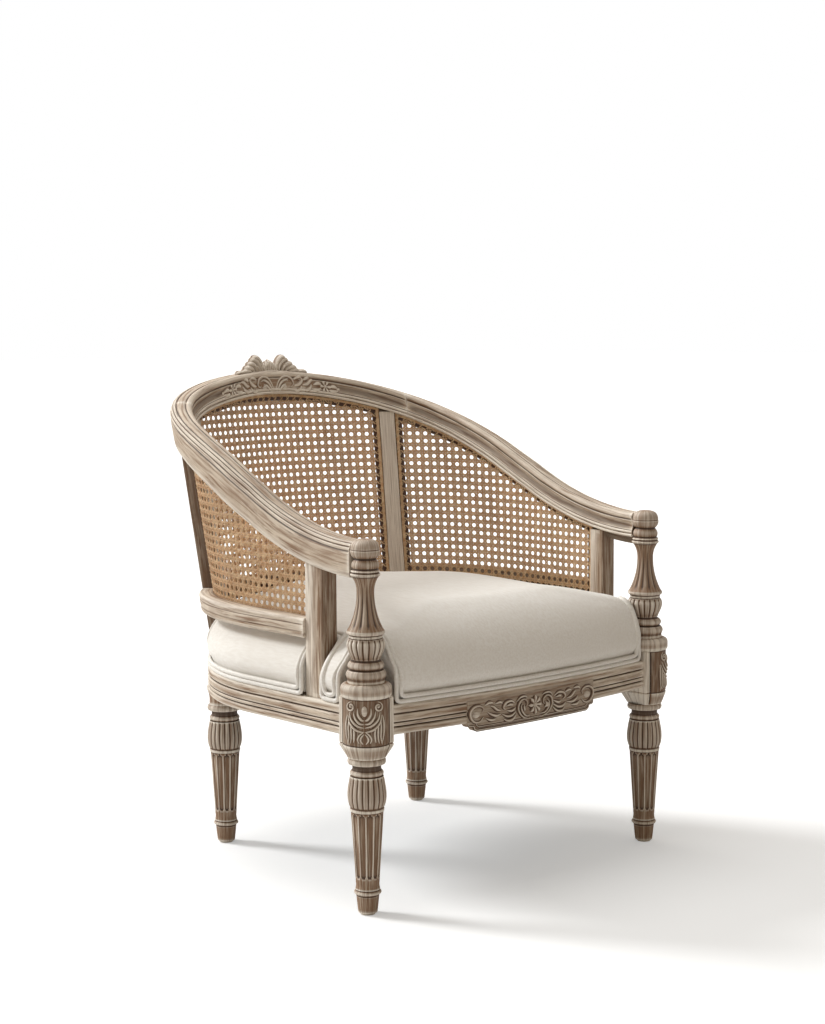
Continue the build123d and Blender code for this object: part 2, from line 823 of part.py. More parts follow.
# Corner braces: notched round the front blocks, and bent over the rear joints
brace_bottom = seat_rail_middle - brace_height / 2
with BuildPart() as corner_brace_front_right:
    with BuildSketch(Plane.XY.offset(brace_bottom)):
        with BuildLine():
            Polyline(
                (block_inside - brace_reach, front_rail_back_y),
                (block_inside, front_rail_back_y),
                (block_inside, block_behind),
                (seat_rail_inside, block_behind),
                (seat_rail_inside, block_behind + brace_reach),
                close=True,
            )
        make_face()
    extrude(amount=brace_height)
    add(brace_screws.part, mode=Mode.SUBTRACT)
    add(screw_bores.part, mode=Mode.SUBTRACT)
with BuildPart() as corner_brace_front_left:
    mirror(corner_brace_front_right.part, about=Plane.YZ)
with BuildPart() as corner_brace_rear_right:
    brace_run = rear_joint_run - tub_radius * radians(rear_brace_angle)
    with BuildSketch(
        Plane(
            origin=tub_point(brace_run, seat_top) - Vector(0, 0, seat_top - brace_bottom),
            x_dir=outward(brace_run),
            z_dir=backward(brace_run) * -1,
        )
    ) as brace_section:
        with Locations((-seat_rail_inner, 0)):
            Rectangle(rear_brace_depth, brace_height, align=(Align.MAX, Align.MIN))
    revolve(axis=tub_axis, revolution_arc=2 * rear_brace_angle)
    add(brace_screws.part, mode=Mode.SUBTRACT)
    add(screw_bores.part, mode=Mode.SUBTRACT)
with BuildPart() as corner_brace_rear_left:
    mirror(corner_brace_rear_right.part, about=Plane.YZ)

# Arm rail: coped over the post, swept up to its joint with the crest
arm_runs = runs_between(0, rail_joint_run, arm_sections)
with BuildPart() as arm_rail_right:
    loft([rail_section(run) for run in arm_runs])
    with Locations((tub_radius, post_y, arm_height)):
        Cylinder(collar_radius, 4 * rail_half_height, mode=Mode.SUBTRACT)
    add(front_tenon.part, mode=Mode.SUBTRACT)
    add(arm_post_dowels.part, mode=Mode.SUBTRACT)
    add(crest_dowels.part, mode=Mode.SUBTRACT)
with BuildPart() as arm_rail_left:
    mirror(arm_rail_right.part, about=Plane.YZ)

# Crest rail, from joint to joint
crest_runs = runs_between(rail_joint_run, 2 * half_length - rail_joint_run, crest_sections)
with BuildPart() as crest_rail:
    loft([rail_section(run) for run in crest_runs])
    add(rear_tenon.part, mode=Mode.SUBTRACT)
    mirror(rear_tenon.part, about=Plane.YZ, mode=Mode.SUBTRACT)
    add(crest_dowels.part, mode=Mode.SUBTRACT)

# Front stile, rebated behind for the cane
front_stile_outline = [
    (-front_stile_depth, -front_stile_half),
    (front_stile_depth, -front_stile_half),
    (front_stile_depth, front_stile_ledge),
    (-ledge_face, front_stile_ledge),
    (-ledge_face, front_stile_half),
    (-front_stile_depth, front_stile_half),
]
with BuildPart() as front_stile_whole:
    add(stile_prism(front_stile_run, front_stile_outline, seat_top, rail_height(front_stile_run)))
    add(arm_rail_right.part, mode=Mode.SUBTRACT)
with BuildPart() as front_stile_right:
    add(front_stile_whole.solids().sort_by(Axis.Z)[0])
    add(front_tenon.part)
    add(lower_rail_dowels.part, mode=Mode.SUBTRACT)
with BuildPart() as front_stile_left:
    mirror(front_stile_right.part, about=Plane.YZ)

# Cane sheets in the rebates, with the spline along their edges
def cane_top(run):
    return rail_height(run) - rail_half_height * rail_stretch(run) - cane_gap


def cane_sheet(runs, room):
    outer = -ledge_face - cane_seat
    return tub_strip(runs, outer - cane_thickness - room, outer + room, cane_bottom, cane_top)


def cane_edge(start, end):
    face = -ledge_face - cane_seat - cane_thickness
    inside = runs_between(start + spline_width, end - spline_width, cane_sections)
    whole = tub_strip(
        runs_between(start, end, cane_sections),
        face - cane_seat - spline_thickness,
        face - cane_seat,
        cane_bottom,
        cane_top,
    )
    middle = tub_strip(
        inside,
        face - 2 * spline_thickness,
        face + spline_thickness,
        cane_bottom + spline_width,
        lambda run: cane_top(run) - spline_width,
    )
    with BuildPart() as edge:
        add(whole)
        add(middle, mode=Mode.SUBTRACT)
    return edge.part


side_cane_start = front_stile_run + front_stile_half + cane_gap
side_cane_end = rear_stile_run - rear_stile_half - cane_gap
back_cane_start = rear_stile_run + rear_stile_half + cane_gap
back_cane_end = 2 * half_length - back_cane_start
side_cane_runs = runs_between(side_cane_start, side_cane_end, cane_sections)
back_cane_runs = runs_between(back_cane_start, back_cane_end, cane_sections)

# Rear stile, its rebates cut to the curve of the cane on both sides
rear_stile_outline = [
    (-rear_stile_inner, -rear_stile_half),
    (-ledge_face, -rear_stile_half),
    (-ledge_face, -rear_stile_ledge),
    (rear_stile_outer, -rear_stile_ledge),
    (rear_stile_outer, rear_stile_ledge),
    (-ledge_face, rear_stile_ledge),
    (-ledge_face, rear_stile_half),
    (-rear_stile_inner, rear_stile_half),
]
with BuildPart() as rear_stile_whole:
    add(stile_prism(rear_stile_run, rear_stile_outline, seat_top, rail_height(rear_stile_run)))
    add(arm_rail_right.part, mode=Mode.SUBTRACT)
    add(crest_rail.part, mode=Mode.SUBTRACT)
with BuildPart() as rear_stile_right:
    add(rear_stile_whole.solids().sort_by(Axis.Z)[0])
    add(rear_tenon.part)
    add(lower_rail_dowels.part, mode=Mode.SUBTRACT)
    add(cane_sheet(side_cane_runs, cane_seat), mode=Mode.SUBTRACT)
    add(cane_sheet(back_cane_runs, cane_seat), mode=Mode.SUBTRACT)
with BuildPart() as rear_stile_left:
    mirror(rear_stile_right.part, about=Plane.YZ)


# Side face of a stile, leaning with it
def stile_face(run, along):
    return Plane(
        origin=tub_point(run, lower_rail_bottom) + backward(run) * along,
        x_dir=outward(run),
        z_dir=leaning(run).cross(outward(run)),
    )


# Lower cane rails, butted to the stiles
def lower_rail_section(run):
    def at(out, rise):
        return on_station(run, out, rise)

    out = lower_rail_outer
    top = lower_rail_height
    soft = lower_rail_round
    inset = soft * (1 - sqrt(0.5))
    with BuildSketch(station(run, lower_rail_bottom)) as section:
        with BuildLine():
            Polyline(at(out - soft, top), at(-ledge_face, top), at(-ledge_face, 0), at(out - soft, 0))
            ThreePointArc(at(out - soft, 0), at(out - inset, inset), at(out, soft))
            Line(at(out, soft), at(out, top - soft))
            ThreePointArc(at(out, top - soft), at(out - inset, top - inset), at(out - soft, top))
        make_face()
    return section.sketch


side_rail_start = front_stile_run + front_stile_half
side_rail_end = rear_stile_run - rear_stile_half
side_rail_runs = runs_between(side_rail_start, side_rail_end, lower_rail_sections)
with BuildPart() as lower_rail_right:
    loft([lower_rail_section(run) for run in side_rail_runs])
    split(bisect_by=stile_face(front_stile_run, front_stile_ledge), keep=Keep.TOP)
    split(bisect_by=stile_face(rear_stile_run, -rear_stile_ledge), keep=Keep.BOTTOM)
    add(lower_rail_dowels.part, mode=Mode.SUBTRACT)
with BuildPart() as lower_rail_left:
    mirror(lower_rail_right.part, about=Plane.YZ)
back_start = rear_stile_run + rear_stile_half
back_rail_runs = runs_between(back_start, 2 * half_length - back_start, lower_rail_sections)
with BuildPart() as lower_rail_back:
    loft([lower_rail_section(run) for run in back_rail_runs])
    split(bisect_by=stile_face(rear_stile_run, rear_stile_ledge), keep=Keep.TOP)
    split(bisect_by=stile_face(2 * half_length - rear_stile_run, -rear_stile_ledge), keep=Keep.BOTTOM)
    add(lower_rail_dowels.part, mode=Mode.SUBTRACT)


# Openings of a cane panel, in rows and columns that follow the tub
def cane_openings(start, end):
    pitch = (end - start - 2 * cane_border) / cane_columns
    size = pitch * cane_open
    foot = lower_rail_bottom + lower_rail_height + cane_border
    inward = -ledge_face - cane_seat - cane_thickness / 2
    with BuildPart() as openings:
        for column in range(cane_columns):
            run = start + cane_border + pitch * (column + 0.5)
            head = min(cane_top(run - pitch / 2), cane_top(run + pitch / 2)) - cane_border
            for row in range(int((head - foot) / pitch)):
                middle = station(run, foot + pitch * (row + 0.5)).location
                with Locations(middle * Location((inward, 0, 0))):
                    Box(4 * cane_thickness, size, size)
    return openings.part


with BuildPart() as cane_right:
    add(cane_sheet(side_cane_runs, 0))
    add(cane_openings(side_cane_start, side_cane_end), mode=Mode.SUBTRACT)
with BuildPart() as cane_left:
    mirror(cane_right.part, about=Plane.YZ)
with BuildPart() as cane_back:
    add(cane_sheet(back_cane_runs, 0))
    add(cane_openings(back_cane_start, back_cane_end), mode=Mode.SUBTRACT)
with BuildPart() as cane_spline_right:
    add(cane_edge(side_cane_start, side_cane_end))
with BuildPart() as cane_spline_left:
    mirror(cane_spline_right.part, about=Plane.YZ)
with BuildPart() as cane_spline_back:
    add(cane_edge(back_cane_start, back_cane_end))


# Outline of the seat: straight sides, round back, bowed front, all drawn in by an inset
def seat_outline(height, inset, front_inset):
    half = rail_outer_radius - inset
    mid = seat_corner * (1 - sqrt(0.5))
    corner = half - seat_corner
    front = bow_edge(corner, -front_inset)
    side = front + seat_corner
    with BuildSketch(Plane.XY.offset(height)) as outline:
        with BuildLine():
            Line((half, side), (half, tub_y))
            CenterArc((0, tub_y), half, 0, 90)
            CenterArc((0, tub_y), half, 90, 90)
            Line((-half, tub_y), (-half, side))
            ThreePointArc((-half, side), (mid - half, front + mid), (-corner, front))
            ThreePointArc((-corner, front), (0, bow_edge(0, -front_inset)), (corner, front))
            ThreePointArc((corner, front), (half - mid, front + mid), (half, side))
        make_face()
    return outline.sketch


# Crowned seat: drawn in behind the welt, widest above it, then rolled over to the crown
def seat_dome(shrink):
    swell = seat_bulge - shrink
    foot = welt_inset + welt_radius + welt_clearance + shrink
    level = seat_top + seat_bulge_height
    rise = (seat_crown - shrink - level) / sin(radians(crown_angle))
    sections = [seat_outline(seat_top, foot, foot), seat_outline(seat_top + 4 * welt_radius, foot, foot)]
    for step in range(crown_sections):
        angle = radians(crown_angle * step / (crown_sections - 1))
        roll = seat_roll * (1 - cos(angle))
        height = level + rise * sin(angle)
        sections.append(seat_outline(height, roll - swell, roll * front_fullness - swell))
    with BuildPart() as dome:
        loft(sections, ruled=True)
    return dome.part


# Room for posts and stiles at the edge of the seat, open to the outside
def seat_notches(grow):
    height = 2 * (seat_crown - seat_top)
    reach = seat_rail_outer + 2 * seat_bulge + seat_corner
    front = rectangle(
        -front_stile_depth - stile_clearance - grow,
        reach,
        -front_stile_half - stile_clearance - grow,
        front_stile_ledge + stile_clearance + grow,
    )
    rear_half = rear_stile_ledge + stile_clearance + grow
    rear = rectangle(-rear_stile_inner - stile_clearance - grow, reach, -rear_half, rear_half)
    base = seat_top - seat_bulge_height
    with BuildPart() as notches:
        with Locations((tub_radius, post_y, base)):
            Cylinder(
                notch_radius + grow,
                height,
                align=(Align.CENTER, Align.CENTER, Align.MIN),
            )
            Box(
                2 * cap_radius,
                2 * cap_radius,
                height,
                align=(Align.MIN, Align.MAX, Align.MIN),
            )
        add(stile_prism(front_stile_run, front, base, base + height))
        add(stile_prism(rear_stile_run, rear, base, base + height))
        mirror(about=Plane.YZ)
    return notches.part


# Double welt along the foot of the cover, between posts and stiles
def welt_tube(path, plane):
    with BuildPart() as tube:
        with BuildSketch(plane):
            Circle(welt_radius)
        sweep(path=path)
    return tube.part


def welt_arc(height, start, end):
    radius = rail_outer_radius - welt_inset
    with BuildLine() as path:
        CenterArc((0, tub_y, height), radius, degrees(start), degrees(end - start))
    return path.line


def welt_side(height, start, end):
    half = rail_outer_radius - welt_inset
    with BuildLine() as path:
        Line((half, post_y + start, height), (half, tub_y, height))
        CenterArc((0, tub_y, height), half, 0, degrees(turn_at(end)))
    return path.line


def welt_short(height, start, end):
    half = rail_outer_radius - welt_inset
    with BuildLine() as path:
        Line((half, post_y + start, height), (half, post_y + end, height))
    return path.line


def welt_front(height):
    half = tub_radius - notch_radius - welt_end_gap
    ends = bow_edge(half, -welt_inset)
    with BuildLine() as path:
        ThreePointArc((-half, ends, height), (0, bow_edge(0, -welt_inset), height), (half, ends, height))
    return path.line


def start_plane(path):
    return Plane(origin=path @ 0, z_dir=path % 0)


welt_room = stile_clearance + welt_end_gap
post_room = notch_radius + welt_end_gap
stile_behind = front_stile_run + front_stile_ledge + welt_room
stile_ahead = front_stile_run - front_stile_half - welt_room
rear_stile_ahead = rear_stile_run - rear_stile_ledge - welt_room
rear_stile_behind = rear_stile_run + rear_stile_ledge + welt_room
with BuildPart() as seat_welt:
    for row in (1, 3):
        level = seat_top + row * welt_radius
        side_paths = [
            welt_short(level, post_room, stile_ahead),
            welt_side(level, stile_behind, rear_stile_ahead),
        ]
        for path in side_paths:
            tube = welt_tube(path, start_plane(path))
            add(tube)
            mirror(tube, about=Plane.YZ)
        back_path = welt_arc(level, turn_at(rear_stile_behind), pi - turn_at(rear_stile_behind))
        add(welt_tube(back_path, start_plane(back_path)))
        front_path = welt_front(level)
        add(welt_tube(front_path, start_plane(front_path)))

# Cover, drawn over the foam
deck_top = seat_top + 2 * web_thickness + burlap_thickness
with BuildPart() as seat_filling:
    add(seat_dome(cover_thickness))
    add(seat_notches(cover_thickness), mode=Mode.SUBTRACT)
with BuildPart() as seat_cover:
    add(seat_dome(0))
    add(seat_notches(0), mode=Mode.SUBTRACT)
    add(seat_filling.part, mode=Mode.SUBTRACT)
with BuildPart() as seat_foam:
    add(seat_filling.part)
    split(bisect_by=Plane.XY.offset(deck_top), keep=Keep.TOP)

# Webbing in two layers, tacked to the tops of the rails, and the burlap over it
web_reach = rail_outer_radius - seat_rail_inside - web_bearing
web_front = front_set + front_rail_back - web_bearing
front_web_y = (block_behind + post_y + front_stile_run - front_stile_half) / 2
side_web_y = post_y + front_stile_run + front_stile_ledge + stile_clearance + web_width / 2
cross_levels = [front_web_y]
for step in range(cross_web_count):
    cross_levels.append(side_web_y + step * cross_web_pitch)
with BuildPart() as seat_webbing_long:
    with BuildSketch(Plane.XY.offset(seat_top)):
        with GridLocations(web_pitch, 0, web_count, 1):
            Rectangle(web_width, 4 * tub_radius)
        add(seat_outline(0, web_reach, web_front), mode=Mode.INTERSECT)
    extrude(amount=web_thickness)
    add(seat_notches(cover_thickness), mode=Mode.SUBTRACT)
with BuildPart() as seat_webbing_cross:
    with BuildSketch(Plane.XY.offset(seat_top + web_thickness)):
        with Locations(*[(0, level) for level in cross_levels]):
            Rectangle(4 * tub_radius, web_width)
        add(seat_outline(0, web_reach, web_front), mode=Mode.INTERSECT)
    extrude(amount=web_thickness)
    add(seat_notches(cover_thickness), mode=Mode.SUBTRACT)
with BuildPart() as seat_burlap:
    extrude(seat_outline(seat_top + 2 * web_thickness, web_reach, web_front), amount=burlap_thickness)
    add(seat_notches(cover_thickness), mode=Mode.SUBTRACT)

# Dust cover under the rails, cut round blocks and legs
dust_reach = rail_outer_radius - seat_rail_inside - dust_cover_bearing
dust_front = front_bow + tablet_back + leg_hole_gap
with BuildPart() as dust_cover:
    with BuildSketch(Plane.XY.offset(seat_rail_bottom - dust_cover_thickness)):
        add(seat_outline(0, dust_reach, dust_front))
        for side in (-1, 1):
            with Locations((side * rear_leg_place[0], rear_leg_place[1])):
                Circle(bell_radius + leg_hole_gap, mode=Mode.SUBTRACT)
            with Locations((side * tub_radius, post_y)):
                hole = block_width + 2 * leg_hole_gap
                Rectangle(hole, hole, mode=Mode.SUBTRACT)
    extrude(amount=dust_cover_thickness)

# Crest carving: two scrolls and a rosette on a leafy foot, seated on the rail
crest_top = crest_height + rail_half_height
crest_middle = tub_point(half_length, crest_top)
with BuildPart() as crest_carving:
    with BuildSketch(
        Plane(
            origin=(0, crest_middle.Y + crest_carving_thickness / 2, crest_top),
            x_dir=(1, 0, 0),
            z_dir=(0, -1, 0),
        )
    ):
        Rectangle(2 * crest_scroll_offset + crest_scroll_radius, 2 * crest_rosette_radius)
        with Locations((0, crest_rosette_radius)):
            Circle(crest_rosette_radius)
        for side in (-1, 1):
            with Locations((side * crest_scroll_offset, crest_carving_rise - crest_scroll_radius)):
                Circle(crest_scroll_radius)
            leaf = (crest_carving_half - crest_scroll_offset) / 2
            with Locations((side * (crest_carving_half - leaf), 0)):
                Ellipse(leaf, crest_scroll_radius / 2)
    extrude(amount=crest_carving_thickness)
    add(
        tub_strip(
            runs_between(half_length - relief_half, half_length + relief_half, relief_sections),
            -2 * rail_half_width,
            2 * rail_half_width,
            crest_height - rail_half_height,
            lambda run: rail_height(run) + rail_half_height * rail_stretch(run) + carving_gap,
        ),
        mode=Mode.SUBTRACT,
    )


# Row of overlapping leaves, smaller towards the ends, on a front view
def leaf_row(plane, half, count, height, level_at):
    pitch = half / count
    with BuildSketch(plane) as leaves:
        for side in (-1, 1):
            for step in range(count):
                middle = side * pitch * (step + 0.5)
                size = height * (1 - leaf_fall * step / count)
                with Locations(Location((middle, level_at(abs(middle))), side * leaf_tilt)):
                    Ellipse(pitch * leaf_lap, size)
    return leaves.sketch


# Relief of leaves on the crest rail's inner face
front_view = Plane(origin=(0, tub_y, 0), x_dir=(1, 0, 0), z_dir=(0, -1, 0))
relief_runs = runs_between(half_length - relief_half, half_length + relief_half, relief_sections)
with BuildPart() as relief_whole:
    add(
        tub_strip(
            relief_runs,
            -rail_half_width - carving_depth,
            -rail_half_width - carving_gap,
            crest_height - 2 * rail_half_height,
            lambda run: crest_height + rail_half_height,
        )
    )
    extrude(
        leaf_row(
            front_view,
            relief_half,
            relief_lobes,
            relief_lobe_height,
            lambda offset: rail_height(half_length - offset),
        ),
        amount=-2 * tub_radius,
        mode=Mode.INTERSECT,
    )
with BuildPart() as crest_relief:
    add(relief_whole.solids().sort_by(SortBy.VOLUME)[-1])

# Leaves on the front rail's tablet
tablet_middle = (tablet_top + tablet_bottom) / 2
with BuildPart() as apron_carving:
    extrude(
        front_plan(tablet_bottom, apron_carving_half, tablet_proud + carving_depth, tablet_back_y),
        amount=tablet_top - tablet_bottom,
    )
    extrude(
        leaf_row(
            front_view,
            apron_carving_half,
            apron_lobes,
            apron_lobe_height,
            lambda offset: tablet_middle,
        ),
        amount=2 * tub_radius,
        mode=Mode.INTERSECT,
    )
    add(front_seat_rail.part, mode=Mode.SUBTRACT)

# Leaf and swags on the rounded corner of each block
block_middle = (shoulder_top + block_top) / 2
corner_view = Plane(origin=(0, 0, block_middle), x_dir=(1, 1, 0), z_dir=(1, -1, 0))
with BuildPart() as corner_leaf:
    with Locations((0, 0, block_middle)):
        Cylinder(panel_radius + carving_depth, block_leaf_height)
        Cylinder(panel_radius, block_leaf_height, mode=Mode.SUBTRACT)
    with BuildSketch(corner_view):
        Ellipse(block_leaf_width / 2, block_leaf_height / 2)
        for side in (-1, 1):
            swag_place = (side * block_swag_offset, block_swag_rise)
            with Locations(Location(swag_place, side * block_swag_tilt)):
                Ellipse(block_swag_width, block_swag_height)
    extrude(amount=2 * panel_radius, mode=Mode.INTERSECT)
with BuildPart() as block_carving_right:
    with Locations(post_place):
        add(corner_leaf.part)
with BuildPart() as block_carving_left:
    mirror(block_carving_right.part, about=Plane.YZ)

pieces = {
    "front_leg_left": front_leg_left,
    "front_leg_right": front_leg_right,
    "rear_leg_left": rear_leg_left,
    "rear_leg_right": rear_leg_right,
    "leg_glides": leg_glides,
    "arm_post_left": arm_post_left,
    "arm_post_right": arm_post_right,
    "front_seat_rail": front_seat_rail,
    "side_seat_rail_left": side_seat_rail_left,
    "side_seat_rail_right": side_seat_rail_right,
    "rear_seat_rail": rear_seat_rail,
    "corner_brace_front_left": corner_brace_front_left,
    "corner_brace_front_right": corner_brace_front_right,
    "corner_brace_rear_left": corner_brace_rear_left,
    "corner_brace_rear_right": corner_brace_rear_right,
    "brace_screws": brace_screws,
    "front_rail_dowels": front_rail_dowels,
    "side_rail_dowels": side_rail_dowels,
    "rear_rail_dowels": rear_rail_dowels,
    "arm_rail_left": arm_rail_left,
    "arm_rail_right": arm_rail_right,
    "crest_rail": crest_rail,
    "arm_post_dowels": arm_post_dowels,
    "crest_dowels": crest_dowels,
    "front_stile_left": front_stile_left,
    "front_stile_right": front_stile_right,
    "rear_stile_left": rear_stile_left,
    "rear_stile_right": rear_stile_right,
    "lower_rail_left": lower_rail_left,
    "lower_rail_right": lower_rail_right,
    "lower_rail_back": lower_rail_back,
    "lower_rail_dowels": lower_rail_dowels,
    "cane_left": cane_left,
    "cane_right": cane_right,
    "cane_back": cane_back,
    "cane_spline_left": cane_spline_left,
    "cane_spline_right": cane_spline_right,
    "cane_spline_back": cane_spline_back,
    "seat_cover": seat_cover,
    "seat_welt": seat_welt,
    "seat_foam": seat_foam,
    "seat_burlap": seat_burlap,
    "seat_webbing_long": seat_webbing_long,
    "seat_webbing_cross": seat_webbing_cross,
    "dust_cover": dust_cover,
    "crest_carving": crest_carving,
    "crest_relief": crest_relief,
    "apron_carving": apron_carving,
    "block_carving_left": block_carving_left,
    "block_carving_right": block_carving_right,
}
os.makedirs("parts", exist_ok=True)
for name, piece in pieces.items():
    piece.part.label = name
    export_step(piece.part, f"parts/{name}.step")
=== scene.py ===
from math import acos, atan2, cos, pi, radians, sin, sqrt, tan

import bmesh
import bpy
import numpy as np
from mathutils import Matrix, Vector, noise
from mathutils.bvhtree import BVHTree


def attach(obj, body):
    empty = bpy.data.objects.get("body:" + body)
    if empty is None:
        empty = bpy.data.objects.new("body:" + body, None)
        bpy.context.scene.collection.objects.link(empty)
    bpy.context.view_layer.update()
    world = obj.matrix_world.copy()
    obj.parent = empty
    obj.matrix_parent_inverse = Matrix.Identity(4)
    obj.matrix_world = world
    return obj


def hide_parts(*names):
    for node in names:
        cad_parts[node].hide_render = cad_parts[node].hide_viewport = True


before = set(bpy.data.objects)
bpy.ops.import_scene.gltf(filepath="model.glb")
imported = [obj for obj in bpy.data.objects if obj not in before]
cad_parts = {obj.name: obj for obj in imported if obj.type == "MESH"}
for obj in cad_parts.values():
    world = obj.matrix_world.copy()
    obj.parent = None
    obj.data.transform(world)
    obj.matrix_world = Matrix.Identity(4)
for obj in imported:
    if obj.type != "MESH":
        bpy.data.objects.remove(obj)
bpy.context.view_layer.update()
print("frame loaded:", len(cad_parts), "nodes")

# the tub's plan and levels, in metres
tub = {
    "radius": 0.338, "sideRun": 0.287, "lean": tan(radians(7.5)), "y": -0.0427163,
    "seatTop": 0.346, "armHeight": 0.592, "crestHeight": 0.849, "railTurn": 0.350,
    "bow": 0.022, "frontSet": 0.026, "blockHalf": 0.0325, "splay": tan(radians(4)),
    "rearStile": radians(50), "rearLeg": radians(45), "rearJoint": radians(32),
}
mm = 0.001
postY = tub["y"] - tub["sideRun"]
halfLength = tub["sideRun"] + tub["radius"] * pi / 2
rearStileRun = tub["sideRun"] + tub["radius"] * tub["rearStile"]
frontFaceY = postY - tub["frontSet"]
blockInside = tub["radius"] - tub["blockHalf"]
splayPeak = 0.4 * 0.6**1.5  # the most that sin squared times cos cubed reaches

def turnAt(run):
    return max(0.0, run - tub["sideRun"]) / tub["radius"]

# a spot on the tub's wall: run along the plan from the right post, height, distance out of the wall
def tubPoint(run, z, out=0.0):
    if run > halfLength:
        point = tubPoint(2 * halfLength - run, z, out)
        return Vector((-point.x, point.y, point.z))
    turn = turnAt(run)
    straight = min(run - tub["sideRun"], 0.0)
    above = z - tub["seatTop"]
    corner = tub["splay"] * sin(turn)**2 * cos(turn)**3 / splayPeak * above
    reach = tub["radius"] + out
    back = (reach + tub["lean"] * above) * sin(turn)
    return Vector((reach * cos(turn) + corner, tub["y"] + straight + back + corner, z))

def railHeight(run):
    near = min(run, 2 * halfLength - run)
    rise = tub["crestHeight"] - tub["armHeight"]
    if near < tub["railTurn"]:
        return tub["armHeight"] + rise * near**2 / (tub["railTurn"] * halfLength)
    return tub["crestHeight"] - rise * (halfLength - near)**2 / ((halfLength - tub["railTurn"]) * halfLength)

def railStretch(run):
    slope = (railHeight(run + mm) - railHeight(run - mm)) / (2 * mm)
    return sqrt(1 + slope**2)

def railPoint(run, out, rise):
    return tubPoint(run, railHeight(run) + rise * railStretch(run), out)

def bowEdge(x, proud=0.0):
    bowRadius = (blockInside**2 + tub["bow"]**2) / (2 * tub["bow"])
    return frontFaceY - tub["bow"] + bowRadius - sqrt((bowRadius + proud)**2 - x * x)

def spread(start, end, step):
    count = max(2, round(abs(end - start) / step) + 1)
    return [start + (end - start) * i / (count - 1) for i in range(count)]

def clamp(share):
    return min(1.0, max(0.0, share))

def inMetres(points):
    return [(first * mm, second * mm) for first, second in points]

# points of an arc, its angles in degrees
def arc(centre, wide, tall, start, sweep, count):
    angles = [radians(start + sweep * i / count) for i in range(count + 1)]
    return [(centre[0] + wide * cos(angle), centre[1] + tall * sin(angle)) for angle in angles]

# points of a bulge or hollow between two points of an outline
def bulge(first, second, sag, count):
    wide, tall = second[0] - first[0], second[1] - first[1]
    length = sqrt(wide**2 + tall**2)
    points = []
    for i in range(1, count + 1):
        share = i / count
        lift = sag * 4 * share * (1 - share)
        out = first[0] + wide * share + tall / length * lift
        points.append((out, first[1] + tall * share - wide / length * lift))
    return points

# paint mixed as the eye sees it, 0 to 255
def paint(red, green, blue):
    shares = [colour / 255 for colour in (red, green, blue)]
    linear = [share / 12.92 if share < 0.0405 else ((share + 0.055) / 1.055)**2.4 for share in shares]
    return (*linear, 1.0)

def newMaterial(name, roughness):
    material = bpy.data.materials.new(name)
    material.use_nodes = True
    tree = material.node_tree
    shader = tree.nodes["Principled BSDF"]
    shader.inputs["Roughness"].default_value = roughness
    return material, tree, shader

# joins a socket to another, or sets its value
def feed(tree, socket, value):
    if isinstance(value, bpy.types.NodeSocket):
        tree.links.new(value, socket)
    else:
        socket.default_value = value

def addNode(tree, kind, **sockets):
    node = tree.nodes.new("ShaderNode" + kind)
    for name, value in sockets.items():
        feed(tree, node.inputs[name.replace("_", " ")], value)
    return node

def mixColours(tree, share, first, second):
    node = addNode(tree, "Mix")
    node.data_type = "RGBA"
    for index, value in ((0, share), (6, first), (7, second)):
        feed(tree, node.inputs[index], value)
    return node.outputs[2]

def combine(tree, operation, first, second):
    node = addNode(tree, "Math")
    node.operation = operation
    for socket, value in zip(node.inputs, (first, second)):
        feed(tree, socket, value)
    return node.outputs[0]

def multiply(tree, first, second):
    return combine(tree, "MULTIPLY", first, second)

def remap(tree, value, low, high, start=0.0, end=1.0):
    node = addNode(tree, "MapRange", Value=value, From_Min=low, From_Max=high, To_Min=start, To_Max=end)
    return node.outputs["Result"]

def readAttribute(tree, name, output):
    node = addNode(tree, "Attribute")
    node.attribute_name = name
    return node.outputs[output]

def objectPlace(tree):
    return addNode(tree, "TexCoord").outputs["Object"]

def scaled(tree, vector, scale):
    return addNode(tree, "Mapping", Vector=vector, Scale=scale).outputs["Vector"]

def noiseOf(tree, vector, scale, detail=4.0, roughness=0.6, distortion=0.0):
    node = addNode(tree, "TexNoise", Vector=vector, Scale=scale, Detail=detail,
                   Roughness=roughness, Distortion=distortion)
    return node.outputs["Fac"]

def addBump(tree, shader, height, strength, distance):
    bump = addNode(tree, "Bump", Height=height, Strength=strength, Distance=distance)
    feed(tree, shader.inputs["Normal"], bump.outputs["Normal"])

# limed wood: brown ground, pale wash caught in the grain, raised edges pale partly from lime on worn edges
# and partly as a painted highlight, umber in the hollows partly as wash left there and partly as painted
# shade
limed = {
    "ground": paint(132, 102, 76), "wash": paint(204, 188, 168), "lime": paint(234, 226, 213),
    "umber": paint(58, 40, 27), "roughness": 0.66, "streaks": (11.0, 190.0, 1.0),
    "pores": (16.0, 520.0, 1.0), "patches": 9.0, "washRange": 0.20, "poreShare": 0.6,
    "edgeStart": -0.03, "edgeFull": -0.16, "grainStrength": 0.35, "grainDepth": 0.0008,
}

